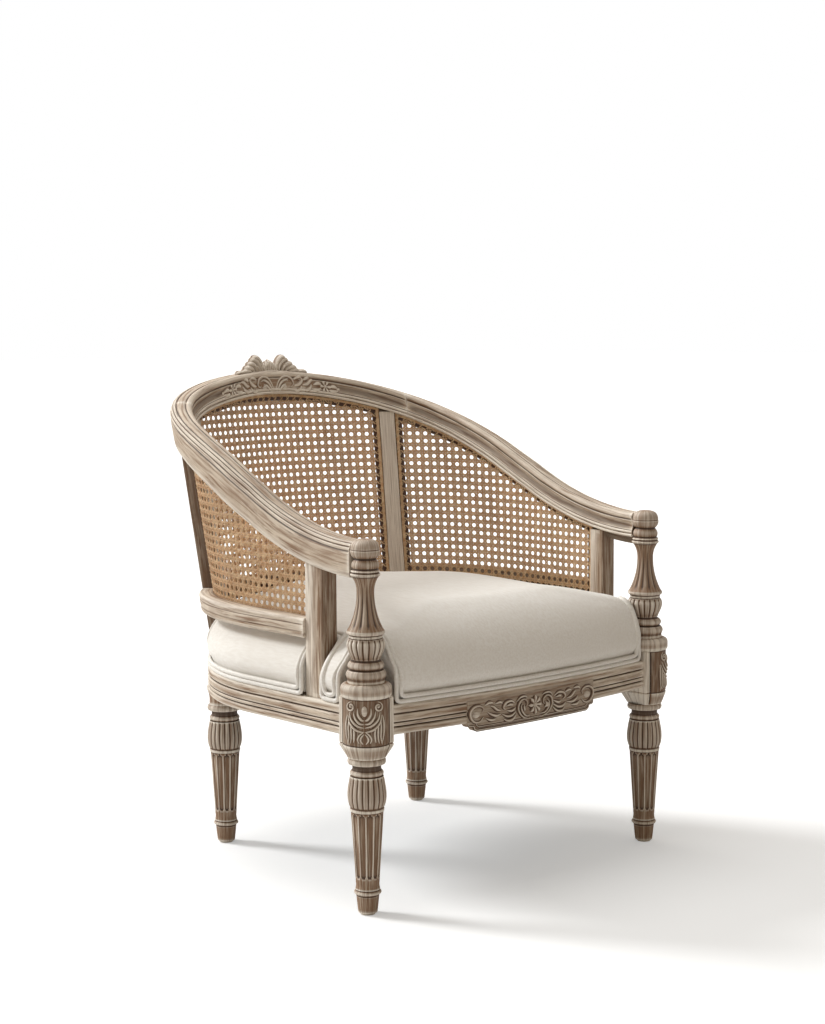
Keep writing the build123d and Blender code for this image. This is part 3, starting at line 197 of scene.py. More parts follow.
def limedWood(name, bareShare, limeAndHighlightShare, washLow, hollowLow=0.008, hollowHigh=0.085):
    material, tree, shader = newMaterial(name, limed["roughness"])
    grain = readAttribute(tree, "grain", "Vector")
    hollow = readAttribute(tree, "hollow", "Fac")
    streak = noiseOf(tree, scaled(tree, grain, limed["streaks"]), 1.0, 6.0, 0.62, 0.5)
    pores = noiseOf(tree, scaled(tree, grain, limed["pores"]), 1.0, 3.0, 0.7, 0.3)
    patch = noiseOf(tree, objectPlace(tree), limed["patches"], 4.0, 0.6, 0.4)
    inGrain = remap(tree, streak, washLow, washLow + limed["washRange"])
    washed = mixColours(tree, inGrain, limed["ground"], limed["wash"])
    rubbed = multiply(tree, remap(tree, patch, 0.42, 0.70), bareShare)
    washed = mixColours(tree, rubbed, washed, limed["ground"])
    pored = multiply(tree, remap(tree, pores, 0.56, 0.70), limed["poreShare"])
    washed = mixColours(tree, pored, washed, limed["umber"])
    # raised edges painted pale: partly lime on worn edges, partly a painted highlight
    onEdge = remap(tree, hollow, limed["edgeStart"], limed["edgeFull"])
    limeAndHighlightEdge = multiply(tree, onEdge, remap(tree, streak, 0.30, 0.55, 0.3 * limeAndHighlightShare, limeAndHighlightShare))
    washed = mixColours(tree, limeAndHighlightEdge, washed, limed["lime"])
    # umber in hollows and round crevices: partly wash left there, partly painted shade
    sunk = remap(tree, hollow, hollowLow, hollowHigh)
    washAndShadeInHollow = multiply(tree, sunk, remap(tree, patch, 0.25, 0.75, 1.0, 0.75))
    washed = mixColours(tree, washAndShadeInHollow, washed, limed["umber"])
    feed(tree, shader.inputs["Base Color"], washed)
    addBump(tree, shader, streak, limed["grainStrength"], limed["grainDepth"])
    return material

# plain timber inside the frame
def plainTimber():
    material, tree, shader = newMaterial("plainTimber", 0.7)
    streak = noiseOf(tree, scaled(tree, objectPlace(tree), (30.0, 30.0, 300.0)), 1.0, 4.0, 0.6, 0.6)
    colour = mixColours(tree, remap(tree, streak, 0.35, 0.65), paint(176, 138, 96), paint(208, 176, 132))
    feed(tree, shader.inputs["Base Color"], colour)
    addBump(tree, shader, streak, 0.25, 0.0005)
    return material

# split cane with a glossy skin, each strand a little different, with painted shade at strand edges, between
# the strands, and painted shade on the border
caneLook = {
    "dark": paint(226, 184, 136), "pale": paint(253, 230, 190), "roughness": 0.42, "through": 0.42,
    "aged": paint(150, 106, 66), "agedShare": 0.25, "edge": paint(138, 92, 54), "edgeShadeShare": 0.45,
    "border": paint(92, 62, 40),
}

def caneSkin():
    material, tree, shader = newMaterial("caneSkin", caneLook["roughness"])
    place = objectPlace(tree)
    strand = noiseOf(tree, place, 140.0, 2.0)
    patch = noiseOf(tree, place, 14.0, 3.0)
    hollow = readAttribute(tree, "hollow", "Fac")
    colour = mixColours(tree, remap(tree, strand, 0.32, 0.68), caneLook["dark"], caneLook["pale"])
    aged = multiply(tree, remap(tree, patch, 0.45, 0.75), caneLook["agedShare"])
    colour = mixColours(tree, aged, colour, caneLook["aged"])
    # painted shade along the strand edges, between the strands
    strandEdgeShade = multiply(tree, remap(tree, hollow, 0.25, 0.8), caneLook["edgeShadeShare"])
    colour = mixColours(tree, strandEdgeShade, colour, caneLook["edge"])
    # painted shade on the border band behind the outer rows
    colour = mixColours(tree, remap(tree, hollow, 1.2, 1.8), colour, caneLook["border"])
    feed(tree, shader.inputs["Base Color"], colour)
    addBump(tree, shader, strand, 0.2, 0.0004)
    glow = addNode(tree, "BsdfTranslucent", Color=colour)
    through = addNode(tree, "MixShader", Fac=caneLook["through"])
    feed(tree, through.inputs[1], shader.outputs["BSDF"])
    feed(tree, through.inputs[2], glow.outputs["BSDF"])
    feed(tree, tree.nodes["Material Output"].inputs["Surface"], through.outputs["Shader"])
    return material

# woven cloth: fine threads both ways, slubs and a soft sheen
def wovenCloth(name, pale, deep, thread, depth, sheen):
    material, tree, shader = newMaterial(name, 0.88)
    place = objectPlace(tree)
    threads = []
    for direction in ("X", "Y", "Z"):
        wave = addNode(tree, "TexWave", Vector=place, Scale=thread, Distortion=0.8, Detail=1.0,
                       Detail_Scale=2.0)
        wave.bands_direction = direction
        threads.append(wave.outputs["Fac"])
    woven = multiply(tree, multiply(tree, threads[0], threads[1]), threads[2])
    slub = noiseOf(tree, scaled(tree, place, (260.0, 40.0, 260.0)), 1.0, 3.0)
    patch = noiseOf(tree, place, 6.0, 3.0, 0.5)
    colour = mixColours(tree, remap(tree, slub, 0.35, 0.65), pale, deep)
    toned = multiply(tree, remap(tree, patch, 0.35, 0.7), 0.5)
    colour = mixColours(tree, toned, colour, deep)
    feed(tree, shader.inputs["Base Color"], colour)
    shader.inputs["Sheen Weight"].default_value = sheen
    shader.inputs["Sheen Roughness"].default_value = 0.5
    addBump(tree, shader, woven, 0.5, depth)
    return material

def zincSteel():
    material, tree, shader = newMaterial("zincSteel", 0.4)
    shader.inputs["Metallic"].default_value = 1.0
    speck = noiseOf(tree, objectPlace(tree), 900.0)
    colour = mixColours(tree, speck, paint(160, 160, 158), paint(196, 196, 192))
    feed(tree, shader.inputs["Base Color"], colour)
    return material

def mouldedNylon():
    material, tree, shader = newMaterial("mouldedNylon", 0.5)
    speck = noiseOf(tree, objectPlace(tree), 400.0)
    colour = mixColours(tree, speck, paint(214, 206, 190), paint(228, 221, 206))
    feed(tree, shader.inputs["Base Color"], colour)
    addBump(tree, shader, speck, 0.1, 0.0002)
    return material

frameWood = limedWood("limedWood", 0.5, 0.8, washLow=0.35, hollowLow=0.01, hollowHigh=0.11)
stileWood = limedWood("limedWoodRubbed", 0.9, 0.7, washLow=0.42)
turnedWood = limedWood("limedWoodTurned", 0.7, 1.0, washLow=0.47, hollowLow=0.010, hollowHigh=0.075)
carvedWood = limedWood("limedWoodCarved", 0.7, 0.75, washLow=0.42)
timber = plainTimber()
cane = caneSkin()
linen = wovenCloth("linenWeave", paint(241, 238, 232), paint(231, 226, 218), 420.0, 0.0003, 0.25)
jute = wovenCloth("juteWeave", paint(176, 142, 98), paint(138, 106, 68), 180.0, 0.0008, 0.1)
cambric = wovenCloth("blackCambric", paint(46, 45, 44), paint(32, 31, 31), 300.0, 0.0003, 0.1)
steel = zincSteel()
nylon = mouldedNylon()
print("materials ready")

# a shape whose points carry their corner of the section, their place in the grain and a stain, which on
# rebates, crevices and cane stands for painted shade
def newMesh():
    shape = bmesh.new()
    shape.verts.layers.int.new("corner")
    shape.verts.layers.float_vector.new("grain")
    shape.verts.layers.float.new("shade")
    return shape

def asShape(mesh):
    shape = bmesh.new()
    shape.from_mesh(mesh)
    return shape

def asMesh(name, shape):
    mesh = bpy.data.meshes.new(name)
    shape.to_mesh(mesh)
    shape.free()
    return mesh

def addObject(name, data):
    thing = bpy.data.objects.new(name, data)
    bpy.context.scene.collection.objects.link(thing)
    return thing

# stains the swept corners named, as if they lay in a hollow: a real stain on some pieces, painted shade in
# rebates, crevices and cane on others
def stainAndShadeCorners(shape, corners, depth, low=-1.0, high=9.0):
    corner = shape.verts.layers.int["corner"]
    shade = shape.verts.layers.float["shade"]
    for vert in shape.verts:
        if vert[corner] in corners and low < vert.co.z < high:
            vert[shade] = depth

def extrudeRing(shape, edges):
    made = bmesh.ops.extrude_edge_only(shape, edges=edges)["geom"]
    verts = {item for item in made if isinstance(item, bmesh.types.BMVert)}
    edges = [item for item in made if isinstance(item, bmesh.types.BMEdge) and set(item.verts) <= verts]
    return verts, edges

# carries a section of points along stations; place gives each point's spot at a station
def sweepSection(shape, section, stations, place, girth=1.0):
    corner = shape.verts.layers.int["corner"]
    grain = shape.verts.layers.float_vector["grain"]
    around = [0.0]
    for first, second in zip(section, section[1:]):
        around.append(around[-1] + (Vector(second) - Vector(first)).length * girth)
    ring = []
    for number, point in enumerate(section):
        vert = shape.verts.new(place(stations[0], *point))
        vert[corner] = number
        vert[grain] = (0.0, around[number], 0.0)
        ring.append(vert)
    edges = [shape.edges.new(pair) for pair in zip(ring, ring[1:] + ring[:1])]
    ends = [edges]
    along = 0.0
    spot = place(stations[0], *section[0])
    for station in stations[1:]:
        verts, edges = extrudeRing(shape, edges)
        here = place(station, *section[0])
        along += (here - spot).length
        spot = here
        for vert in verts:
            vert.co = place(station, *section[vert[corner]])
            vert[grain] = (along, around[vert[corner]], 0.0)
    ends.append(edges)
    for end in ends:
        bmesh.ops.contextual_create(shape, geom=end)
    return shape

# fills an outline with points no further apart than step
def fillProfile(points, step):
    filled = [points[0]]
    for first, second in zip(points, points[1:]):
        wide, tall = second[0] - first[0], second[1] - first[1]
        count = max(1, round(sqrt(wide**2 + tall**2) / step))
        for i in range(1, count + 1):
            filled.append((first[0] + wide * i / count, first[1] + tall * i / count))
    return filled

# spins an outline of radius and height, in millimetres, round the upright axis
def turnProfile(shape, outline, step, steps):
    grain = shape.verts.layers.float_vector["grain"]
    before = set(shape.verts)
    profile = fillProfile(inMetres(outline), step * mm)
    verts = [shape.verts.new((radius, 0.0, height)) for radius, height in profile]
    edges = [shape.edges.new(pair) for pair in zip(verts, verts[1:])]
    bmesh.ops.spin(shape, geom=verts + edges, cent=(0, 0, 0), axis=(0, 0, 1), dvec=(0, 0, 0),
                   angle=2 * pi, steps=steps, use_merge=True)
    made = [vert for vert in shape.verts if vert not in before]
    bmesh.ops.remove_doubles(shape, verts=made, dist=1e-6)
    made = [vert for vert in shape.verts if vert not in before]
    for vert in made:
        vert[grain] = (vert.co.z, atan2(vert.co.y, vert.co.x) * 0.03, 0.0)
    return made

# sinks a turned surface by what dipAt gives for a height, radius and angle, in millimetres
def sinkTurned(verts, dipAt):
    for vert in verts:
        radius = sqrt(vert.co.x**2 + vert.co.y**2) * 1000
        if radius > 1:
            dip = dipAt(vert.co.z * 1000, radius, atan2(vert.co.y, vert.co.x))
            vert.co.x *= (radius - dip) / radius
            vert.co.y *= (radius - dip) / radius

def cutAcross(shape, axis, places):
    way = [float(axis == i) for i in range(3)]
    for place in places:
        geometry = shape.verts[:] + shape.edges[:] + shape.faces[:]
        at = [place * share for share in way]
        bmesh.ops.bisect_plane(shape, geom=geometry, plane_co=at, plane_no=way)

def smoothOver(shape, verts, passes):
    for _ in range(passes):
        bmesh.ops.smooth_vert(shape, verts=verts, factor=0.5,
                              use_axis_x=True, use_axis_y=True, use_axis_z=True)

def readArray(items, name, size, kind=np.float64):
    values = np.empty(len(items) * size, dtype=kind)
    items.foreach_get(name, values)
    return values.reshape(-1, size)

# shares of a point's own bend, its neighbours' and the wider surface's; the wider share spreads painted shade
# round crevices
hollows = {"own": 0.6, "near": 0.4, "broad": 0.7, "passes": 5}

# how far each point lies in a hollow, above nought, or on an edge, below nought; a stain or a painted shade
# from the shade layer overrides it
def markHollows(mesh):
    count = len(mesh.vertices)
    spots = readArray(mesh.vertices, "co", 3)
    normals = readArray(mesh.vertices, "normal", 3)
    first, second = readArray(mesh.edges, "vertices", 2, np.int64).T
    step = spots[second] - spots[first]
    step /= np.maximum(np.linalg.norm(step, axis=1), 1e-9)[:, None]
    links = np.maximum(np.bincount(first, minlength=count) + np.bincount(second, minlength=count), 1)

    def gather(values):
        return (np.bincount(first, values[second], count) + np.bincount(second, values[first], count)) / links

    ahead = np.bincount(first, (step * normals[first]).sum(1), count)
    behind = np.bincount(second, (step * normals[second]).sum(1), count)
    hollow = (ahead - behind) / links
    near = gather(hollow)
    broad = near
    for _ in range(hollows["passes"]):
        broad = gather(broad)
    hollow = hollows["own"] * hollow + hollows["near"] * near + hollows["broad"] * broad
    if "shade" in mesh.attributes:
        shade = readArray(mesh.attributes["shade"].data, "value", 1, np.float32)[:, 0]
        hollow = np.where(shade > 0, shade, hollow)
    mesh.attributes.new("hollow", "FLOAT", "POINT").data.foreach_set("value", hollow.astype(np.float32))

def makePiece(name, shape, material, nodes, sharp=38):
    bmesh.ops.recalc_face_normals(shape, faces=shape.faces)
    for face in shape.faces:
        face.smooth = True
    for edge in shape.edges:
        edge.smooth = len(edge.link_faces) != 2 or edge.calc_face_angle(0.0) < radians(sharp)
    mesh = asMesh(name, shape)
    markHollows(mesh)
    mesh.materials.append(material)
    piece = addObject(name, mesh)
    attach(piece, "root")
    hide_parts(*nodes)
    return piece

def makePair(name, shape, material, node):
    twin = shape.copy()
    bmesh.ops.scale(twin, vec=(-1, 1, 1), verts=twin.verts)
    makePiece(name + "Right", shape, material, (node + "_right",))
    makePiece(name + "Left", twin, material, (node + "_left",))

# camera at the photograph's angle
view = {
    "eye": (-2.3934, -2.7602, 0.9728), "target": (-0.0041, -0.0697, 0.6219), "roll": radians(-0.332),
    "lens": 69.74, "sensor": 36.0,
}
cameraData = bpy.data.cameras.new("camera")
cameraData.lens = view["lens"]
cameraData.sensor_width = view["sensor"]
camera = addObject("camera", cameraData)
aim = (Vector(view["target"]) - Vector(view["eye"])).to_track_quat("-Z", "Y").to_matrix()
rolled = (aim @ Matrix.Rotation(view["roll"], 3, "Z")).to_4x4()
camera.matrix_world = Matrix.Translation(view["eye"]) @ rolled
bpy.context.scene.camera = camera
bpy.context.scene.view_settings.view_transform = "Standard"

# arm and crest rails: plain outer face, reeds over the shoulder, bead, cove and two beads inside
rail = {
    "reeds": 3, "reedDepth": 1.7, "step": 0.0035, "jointGap": 0.0003, "postEnd": 0.016,
    "jointRun": rearStileRun - 0.040, "stain": 0.07,
}

def railOutline():
    points = [(-5.0, -36.0), (6.0, -36.0), (16.5, -36.0), (19.5, -34.8), (20.8, -32.5)]
    points += [(21.0, -24.0), (21.2, -16.0), (21.3, -8.0), (21.2, -1.0), (21.0, 4.0)]
    for i in range(25):
        angle = radians(90 * i / 24)
        dip = rail["reedDepth"] * cos(2 * rail["reeds"] * angle)**6
        points.append((8 + (13 - dip) * cos(angle), 7 + (15 - dip) * sin(angle)))
    points += [(5.0, 21.6), (1.0, 22.0), (-4.0, 22.0), (-8.0, 21.6), (-9.6, 20.2)]
    points += arc((-14.2, 15.2), 6.6, 6.6, 70, 125, 10)
    points += [(-18.2, 9.6), (-19.4, 8.4), (-18.3, 5.8), (-17.2, 2.4), (-16.8, -1.0)]
    points += [(-17.3, -4.4), (-18.6, -7.6), (-19.6, -8.8), (-18.0, -9.8)]
    for low in (-16.0, -22.2):
        points += arc((-18.0, low + 3.0), 3.1, 2.9, 100, 160, 6)
        points.append((-17.2, low))
    points += [(-12.0, -22.0), (-5.0, -22.0), (-5.0, -29.0)]
    return inMetres(points)

railSection = railOutline()
rebate = {0, len(railSection) - 1, len(railSection) - 2, len(railSection) - 3}
armRuns = spread(rail["postEnd"], rail["jointRun"] - rail["jointGap"], rail["step"])
armRail = sweepSection(newMesh(), railSection, armRuns, railPoint)
# painted shade in the rebate behind the cane
stainAndShadeCorners(armRail, rebate, rail["stain"])
makePair("armRail", armRail, frameWood, "arm_rail")
crestStart = rail["jointRun"] + rail["jointGap"]
crestRuns = spread(crestStart, 2 * halfLength - crestStart, rail["step"])
crestRail = sweepSection(newMesh(), railSection, crestRuns, railPoint)
# painted shade in the rebate behind the cane
stainAndShadeCorners(crestRail, rebate, rail["stain"])
makePiece("crestRail", crestRail, frameWood, ("crest_rail",))
print("arm and crest rails swept")

# seat rails: bead, reed, fascia and bead, each from its low to its high edge and proud by the third value
seatRail = {
    "inner": -0.021, "outer": 0.025, "bottom": 0.296, "height": 0.050, "step": 0.006, "frontBack": 0.014,
    "bands": ((0.6, 12.0, 2.4), (14.4, 19.4, 1.6), (21.4, 33.0, 1.0), (35.4, 49.6, 2.6)),
    "groove": 4.2, "grooveStep": 1.2,
}

def mouldedFace():
    face = seatRail["outer"] * 1000
    points = []
    for low, high, proud in seatRail["bands"]:
        for i in range(9):
            share = i / 8
            swell = proud * sqrt(max(0.0, 1 - (2 * share - 1)**4))
            points.append((face - proud + swell, low + (high - low) * share))
        points.append((face - seatRail["groove"], high + seatRail["grooveStep"]))
    return inMetres(points[:-1])

def seatRailPoint(run, out, rise):
    point = tubPoint(run, tub["seatTop"], out)
    return Vector((point.x, point.y, seatRail["bottom"] + rise))

seatFace = mouldedFace()
seatSection = [(seatRail["inner"], 0.0)] + seatFace + [(seatRail["inner"], seatRail["height"])]
rearJointRun = tub["sideRun"] + tub["radius"] * tub["rearJoint"]
sideRuns = spread(tub["blockHalf"], rearJointRun - rail["jointGap"], seatRail["step"])
sideRail = sweepSection(newMesh(), seatSection, sideRuns, seatRailPoint)
makePair("sideSeatRail", sideRail, frameWood, "side_seat_rail")
rearStart = rearJointRun + rail["jointGap"]
rearRuns = spread(rearStart, 2 * halfLength - rearStart, seatRail["step"])
rearRail = sweepSection(newMesh(), seatSection, rearRuns, seatRailPoint)
makePiece("rearSeatRail", rearRail, frameWood, ("rear_seat_rail",))

# front rail: bowed, with a stepped tablet below its middle
tablet = {
    "half": 0.140, "step": 0.013, "drop": 0.015, "stepDrop": 0.006, "proud": 0.0012, "top": 0.334,
    "bead": 3.4, "thin": 2.2, "corner": 0.009, "rim": 0.0012, "thick": 0.013, "cut": 0.008, "stain": 0.036,
}
frontFace = [(min(out - seatRail["outer"], -1e-6), rise) for out, rise in seatFace]
frontSection = [(0.0, 0.0)] + frontFace + [(0.0, seatRail["height"])]  # nought marks the rail's flat back

def frontRailPoint(x, out, rise):
    y = postY + seatRail["frontBack"] if out == 0.0 else bowEdge(x, out)
    return Vector((x, y, seatRail["bottom"] + rise))

# a flat field with a bevelled rim, stepped ends and round lower corners
def bowedTablet():
    shape = newMesh()
    bottom, step = seatRail["bottom"] - tablet["drop"], seatRail["bottom"] - tablet["stepDrop"]
    half, wide = tablet["half"], tablet["half"] + tablet["step"]
    corner = tablet["corner"]
    outline = [(wide, tablet["top"]), (wide, step + 0.003), (wide - 0.003, step)]
    outline += [(half + 0.002, step), (half, step - 0.002)]
    outline += arc((half - corner, bottom + corner), corner, -corner, 0, 90, 6)
    outline += [(-x, z) for x, z in reversed(outline)]
    face = shape.faces.new([shape.verts.new((x, -tablet["proud"], z)) for x, z in outline])
    bmesh.ops.inset_individual(shape, faces=[face], thickness=tablet["rim"], depth=0.0)
    rim = [vert for vert in shape.verts if vert not in face.verts]
    bmesh.ops.translate(shape, verts=rim, vec=(0, tablet["rim"], 0))
    back = extrudeRing(shape, [edge for edge in shape.edges if edge.is_boundary])[0]
    bmesh.ops.translate(shape, verts=list(back), vec=(0, tablet["thick"], 0))
    bmesh.ops.triangulate(shape, faces=[face for face in shape.faces if len(face.verts) > 4])
    cutAcross(shape, 0, spread(-wide + 0.006, wide - 0.006, tablet["cut"]))
    grain = shape.verts.layers.float_vector["grain"]
    shade = shape.verts.layers.float["shade"]
    for vert in shape.verts:
        vert[grain] = (vert.co.x, vert.co.z, 0.0)
        vert[shade] = tablet["stain"]
        vert.co.y += bowEdge(vert.co.x)
    return shape

frontRuns = spread(-blockInside, blockInside, seatRail["step"])
frontRail = sweepSection(newMesh(), frontSection, frontRuns, frontRailPoint)
tabletMesh = asMesh("tablet", bowedTablet())
frontRail.from_mesh(tabletMesh)
bpy.data.meshes.remove(tabletMesh)
makePiece("frontSeatRail", frontRail, frameWood, ("front_seat_rail",))
print("seat rails swept")

# turned legs: toe, ankle ring, stopped flutes, reeded bulb and collars
leg = {
    "steps": 180, "step": 2.4, "flutes": 12, "fluteDepth": 2.0, "fluteShare": 0.42, "fluteLow": 62.0,
    "fluteHigh": 170.0, "reeds": 20, "reedDepth": 2.2, "bulbLow": 178.0, "bulbHigh": 231.0,
}

def legOutline():
    points = [(0.0, 3.0), (15.2, 3.0), (16.0, 4.0), (18.9, 31.0), (18.2, 32.5)]
    points += bulge((18.6, 33.0), (18.9, 41.5), 4.0, 10)
    points += [(20.6, 42.2)] + bulge((20.6, 43.0), (19.6, 54.0), -0.7, 6)
    points += [(27.0, 172.0), (28.0, 173.0), (28.4, 176.5), (27.4, 178.0)]
    for i in range(17):
        share = i / 16
        points.append((27.2 + 4.7 * sin(pi * share**0.72) + 0.6 * share, 178.6 + 52.0 * share))
    points += [(25.2, 231.0)] + bulge((25.2, 231.6), (25.2, 240.6), 2.6, 8)
    points += [(24.0, 241.2), (23.6, 245.0), (24.0, 249.2)]
    points += bulge((28.8, 250.0), (28.9, 261.6), 2.8, 8)
    return points

def legDip(height, radius, angle):
    if leg["fluteLow"] < height < leg["fluteHigh"]:
        width = leg["fluteShare"] * 2 * pi * radius / leg["flutes"]
        end = min(height - leg["fluteLow"], leg["fluteHigh"] - height)
        if end < width:
            width *= sqrt(1 - (1 - end / width)**2)
        across = ((angle * leg["flutes"] / (2 * pi) + 0.5) % 1 - 0.5) * 2 * pi * radius / leg["flutes"]
        if abs(across) < width:
            return leg["fluteDepth"] * sqrt(1 - (across / width)**2)
    elif leg["bulbLow"] + 1 < height < leg["bulbHigh"] - 0.5:
        fade = min(1.0, (height - leg["bulbLow"]) / 5, (leg["bulbHigh"] - height) / 4)
        return leg["reedDepth"] * fade * (1 - abs(sin(angle * leg["reeds"] / 2)))**1.6
    return 0.0

def turnedLeg():
    shape = newMesh()
    sinkTurned(turnProfile(shape, legOutline(), leg["step"], leg["steps"]), legDip)
    return shape

# corner block: squared timber with a round carved corner, a shouldered foot and a drum cap
block = {
    "half": 32.5, "panel": 39.0, "bottom": 262.0, "shoulder": 284.0, "top": 363.0, "foot": 31.5, "bevel": 2.0,
    "sunk": 0.972, "topSunk": 0.97, "panelCorners": range(9, 40), "stain": 0.030, "stainLow": 0.2865,
    "stainHigh": 0.3606, "capStep": 3.0, "capSteps": 96,
}

def blockOutline():
    half, bevel = block["half"], block["bevel"]
    meet = sqrt(block["panel"]**2 - half**2)
    points = [(half, half - bevel), (half - bevel, half), (-half + bevel, half), (-half, half - bevel)]
    points += [(-half, -half + bevel), (-half + bevel, -half)]
    points += [(-meet - 6.0, -half), (-meet - 1.2, -half), (-meet - 0.2, -half + 1.4)]
    start, end = atan2(-half, -meet), atan2(meet, half)
    for i in range(1, 32):
        angle = start + (end - start) * i / 32
        points.append((block["panel"] * cos(angle), block["panel"] * sin(angle)))
    points += [(half - 1.4, meet + 0.2), (half, meet + 1.2), (half, meet + 6.0)]
    return inMetres(points)

# round at the foot, squared above, with a groove over the shoulder and a drawn-in top
def blockPoint(height, x, y):
    spot = Vector((x, y))
    squared = block["shoulder"] - 2.0
    if height < squared:
        share = max(0.0, (height - block["bottom"]) / (squared - block["bottom"]))
        spot = spot.normalized() * block["foot"] * mm * (1 - share) + spot * share
    elif block["shoulder"] + 0.5 <= height < block["shoulder"] + 3.0:
        spot = spot * block["sunk"]
    elif height > block["top"] - 2.0:
        spot = spot * block["topSunk"]
    return Vector((spot.x, spot.y, height * mm))

def addCap(shape, outline):
    turnProfile(shape, outline, block["capStep"], block["capSteps"])

frontLeg = turnedLeg()
levels = [262.0, 264.5, 270.0, 276.0, 281.9, 284.0, 284.8, 286.5, 287.2]
levels += spread(289.0, 360.5, 6.0) + [361.2, 363.0]
sweepSection(frontLeg, blockOutline(), levels, blockPoint)
stainAndShadeCorners(frontLeg, block["panelCorners"], block["stain"], block["stainLow"], block["stainHigh"])
drum = [(0.0, 362.0), (38.5, 362.0), (40.6, 363.5), (42.0, 366.0), (42.2, 376.0)]
addCap(frontLeg, drum + bulge((42.2, 377.0), (36.0, 384.6), 1.6, 6) + [(30.0, 385.0), (0.0, 385.0)])
bmesh.ops.translate(frontLeg, verts=frontLeg.verts, vec=(tub["radius"], postY, 0))
makePair("frontLeg", frontLeg, turnedWood, "front_leg")

rearLeg = turnedLeg()
bell = [(0.0, 261.4), (28.0, 261.4)] + bulge((28.0, 262.0), (31.4, 290.0), -2.0, 10)
addCap(rearLeg, bell + [(31.8, 292.0), (31.8, 295.6), (0.0, 295.8)])
legSpot = (tub["radius"] * cos(tub["rearLeg"]), tub["y"] + tub["radius"] * sin(tub["rearLeg"]), 0)
bmesh.ops.translate(rearLeg, verts=rearLeg.verts, vec=legSpot)
makePair("rearLeg", rearLeg, turnedWood, "rear_leg")

# arm posts: rings, reeded cup, fluted baluster, collar and ball finial
post = {
    "steps": 180, "step": 2.2, "reeds": 18, "reedDepth": 2.8, "cupLow": 423.0, "cupHigh": 458.0,
    "gadroons": 12, "gadroonDepth": 2.0, "neckLow": 473.0, "neckHigh": 548.0,
}

def postOutline():
    points = [(0.0, 385.0), (30.0, 385.0), (31.0, 388.0), (30.4, 390.5)]
    points += bulge((29.8, 391.5), (29.8, 405.5), 3.2, 9) + [(26.4, 406.4)]
    points += bulge((26.4, 407.4), (26.4, 419.6), 3.4, 9) + [(22.6, 421.0), (22.8, 423.0)]
    for i in range(13):
        share = i / 12
        cup = 8.2 * sin(pi / 2 * min(1.0, share * 1.35))**1.2
        lip = 3.4 * max(0.0, share - 0.78)**1.5 / 0.103
        points.append((23.5 + cup - lip, 423.6 + 33.8 * share))
    points += [(26.2, 458.2), (27.4, 459.2), (27.5, 462.4), (26.6, 463.4), (29.6, 464.6)]
    points += bulge((30.2, 465.0), (29.8, 471.5), 1.5, 6)
    for i in range(1, 22):
        share = i / 21
        points.append((14.4 + 14.8 * (1 - share)**2.1, 472.0 + 61.0 * share))
    for i in range(1, 11):
        share = i / 10
        points.append((14.4 + 8.0 * share**2.2, 533.0 + 26.0 * share))
    points += [(23.6, 559.6)] + bulge((23.2, 560.2), (23.2, 564.0), 1.5, 5) + [(22.4, 564.8)]
    points += bulge((22.4, 565.4), (22.2, 569.4), 1.4, 5) + [(20.6, 570.4)]
    points += bulge((21.2, 571.0), (17.6, 587.0), 2.8, 9)
    points += bulge((17.6, 587.6), (24.0, 601.0), 2.0, 8) + [(23.2, 602.0), (23.6, 603.0)]
    points += bulge((23.6, 603.4), (9.0, 619.2), 4.6, 10) + [(0.0, 620.0)]
    return points

def postDip(height, radius, angle):
    if post["cupLow"] < height < post["cupHigh"]:
        fade = min(1.0, (height - post["cupLow"]) / 3, (post["cupHigh"] - height) / 3)
        return post["reedDepth"] * fade * (1 - abs(sin(angle * post["reeds"] / 2)))**1.5
    if post["neckLow"] < height < post["neckHigh"]:
        fade = min(1.0, (height - post["neckLow"]) / 8, (post["neckHigh"] - height) / 30) * radius / 24
        return post["gadroonDepth"] * fade * (0.5 + 0.5 * cos(angle * post["gadroons"]))**1.4
    return 0.0

armPost = newMesh()
sinkTurned(turnProfile(armPost, postOutline(), post["step"], post["steps"]), postDip)
bmesh.ops.translate(armPost, verts=armPost.verts, vec=(tub["radius"], postY, 0))
makePair("armPost", armPost, turnedWood, "arm_post")
print("legs and posts turned")

# stiles: rounded edges, rebated for the cane
stile = {
    "soft": 1.6, "frontRun": 0.108, "frontHalf": 16.0, "rearHalf": 15.0, "rearInner": -17.0,
    "rearOuter": 19.0, "ledge": 13.0, "face": -5.0, "rearFace": -5.6, "foot": 0.3465, "underRail": 0.026,
    "frontStep": 0.008, "rearStep": 0.010, "rebateShade": 0.07, "frontStain": 0.032, "rearStain": 0.042,
}
frontEdge = stile["frontHalf"] + stile["ledge"]
rearEdge = stile["rearHalf"] + stile["ledge"]

# three points for each corner
def softened(corners):
    points = []
    for i, corner in enumerate(corners):
        here = Vector(corner)
        before = (Vector(corners[i - 1]) - here).normalized() * stile["soft"]
        after = (Vector(corners[(i + 1) % len(corners)]) - here).normalized() * stile["soft"]
        points += [here + before, here + (before + after) * 0.3, here + after]
    return inMetres(points)

def cornerPoints(*corners):
    return {3 * corner + i for corner in corners for i in range(3)}

def sweptStile(run, corners, step):
    along = Vector((-sin(turnAt(run)), cos(turnAt(run)), 0))
    heights = spread(stile["foot"], railHeight(run) - stile["underRail"], step)
    return sweepSection(newMesh(), softened(corners), heights,
                        lambda height, out, aside: tubPoint(run, height, out) + along * aside)

def frontStileCorners():
    half, face = stile["frontHalf"], stile["face"]
    return [(-half, -half), (half, -half), (half, frontEdge), (face, frontEdge), (face, half), (-half, half)]

def rearStileCorners():
    half, face, inner, outer = stile["rearHalf"], stile["rearFace"], stile["rearInner"], stile["rearOuter"]
    near = [(inner, -half), (face, -half), (face, -rearEdge), (outer, -rearEdge)]
    return near + [(out, -aside) for out, aside in reversed(near)]

frontStile = sweptStile(stile["frontRun"], frontStileCorners(), stile["frontStep"])
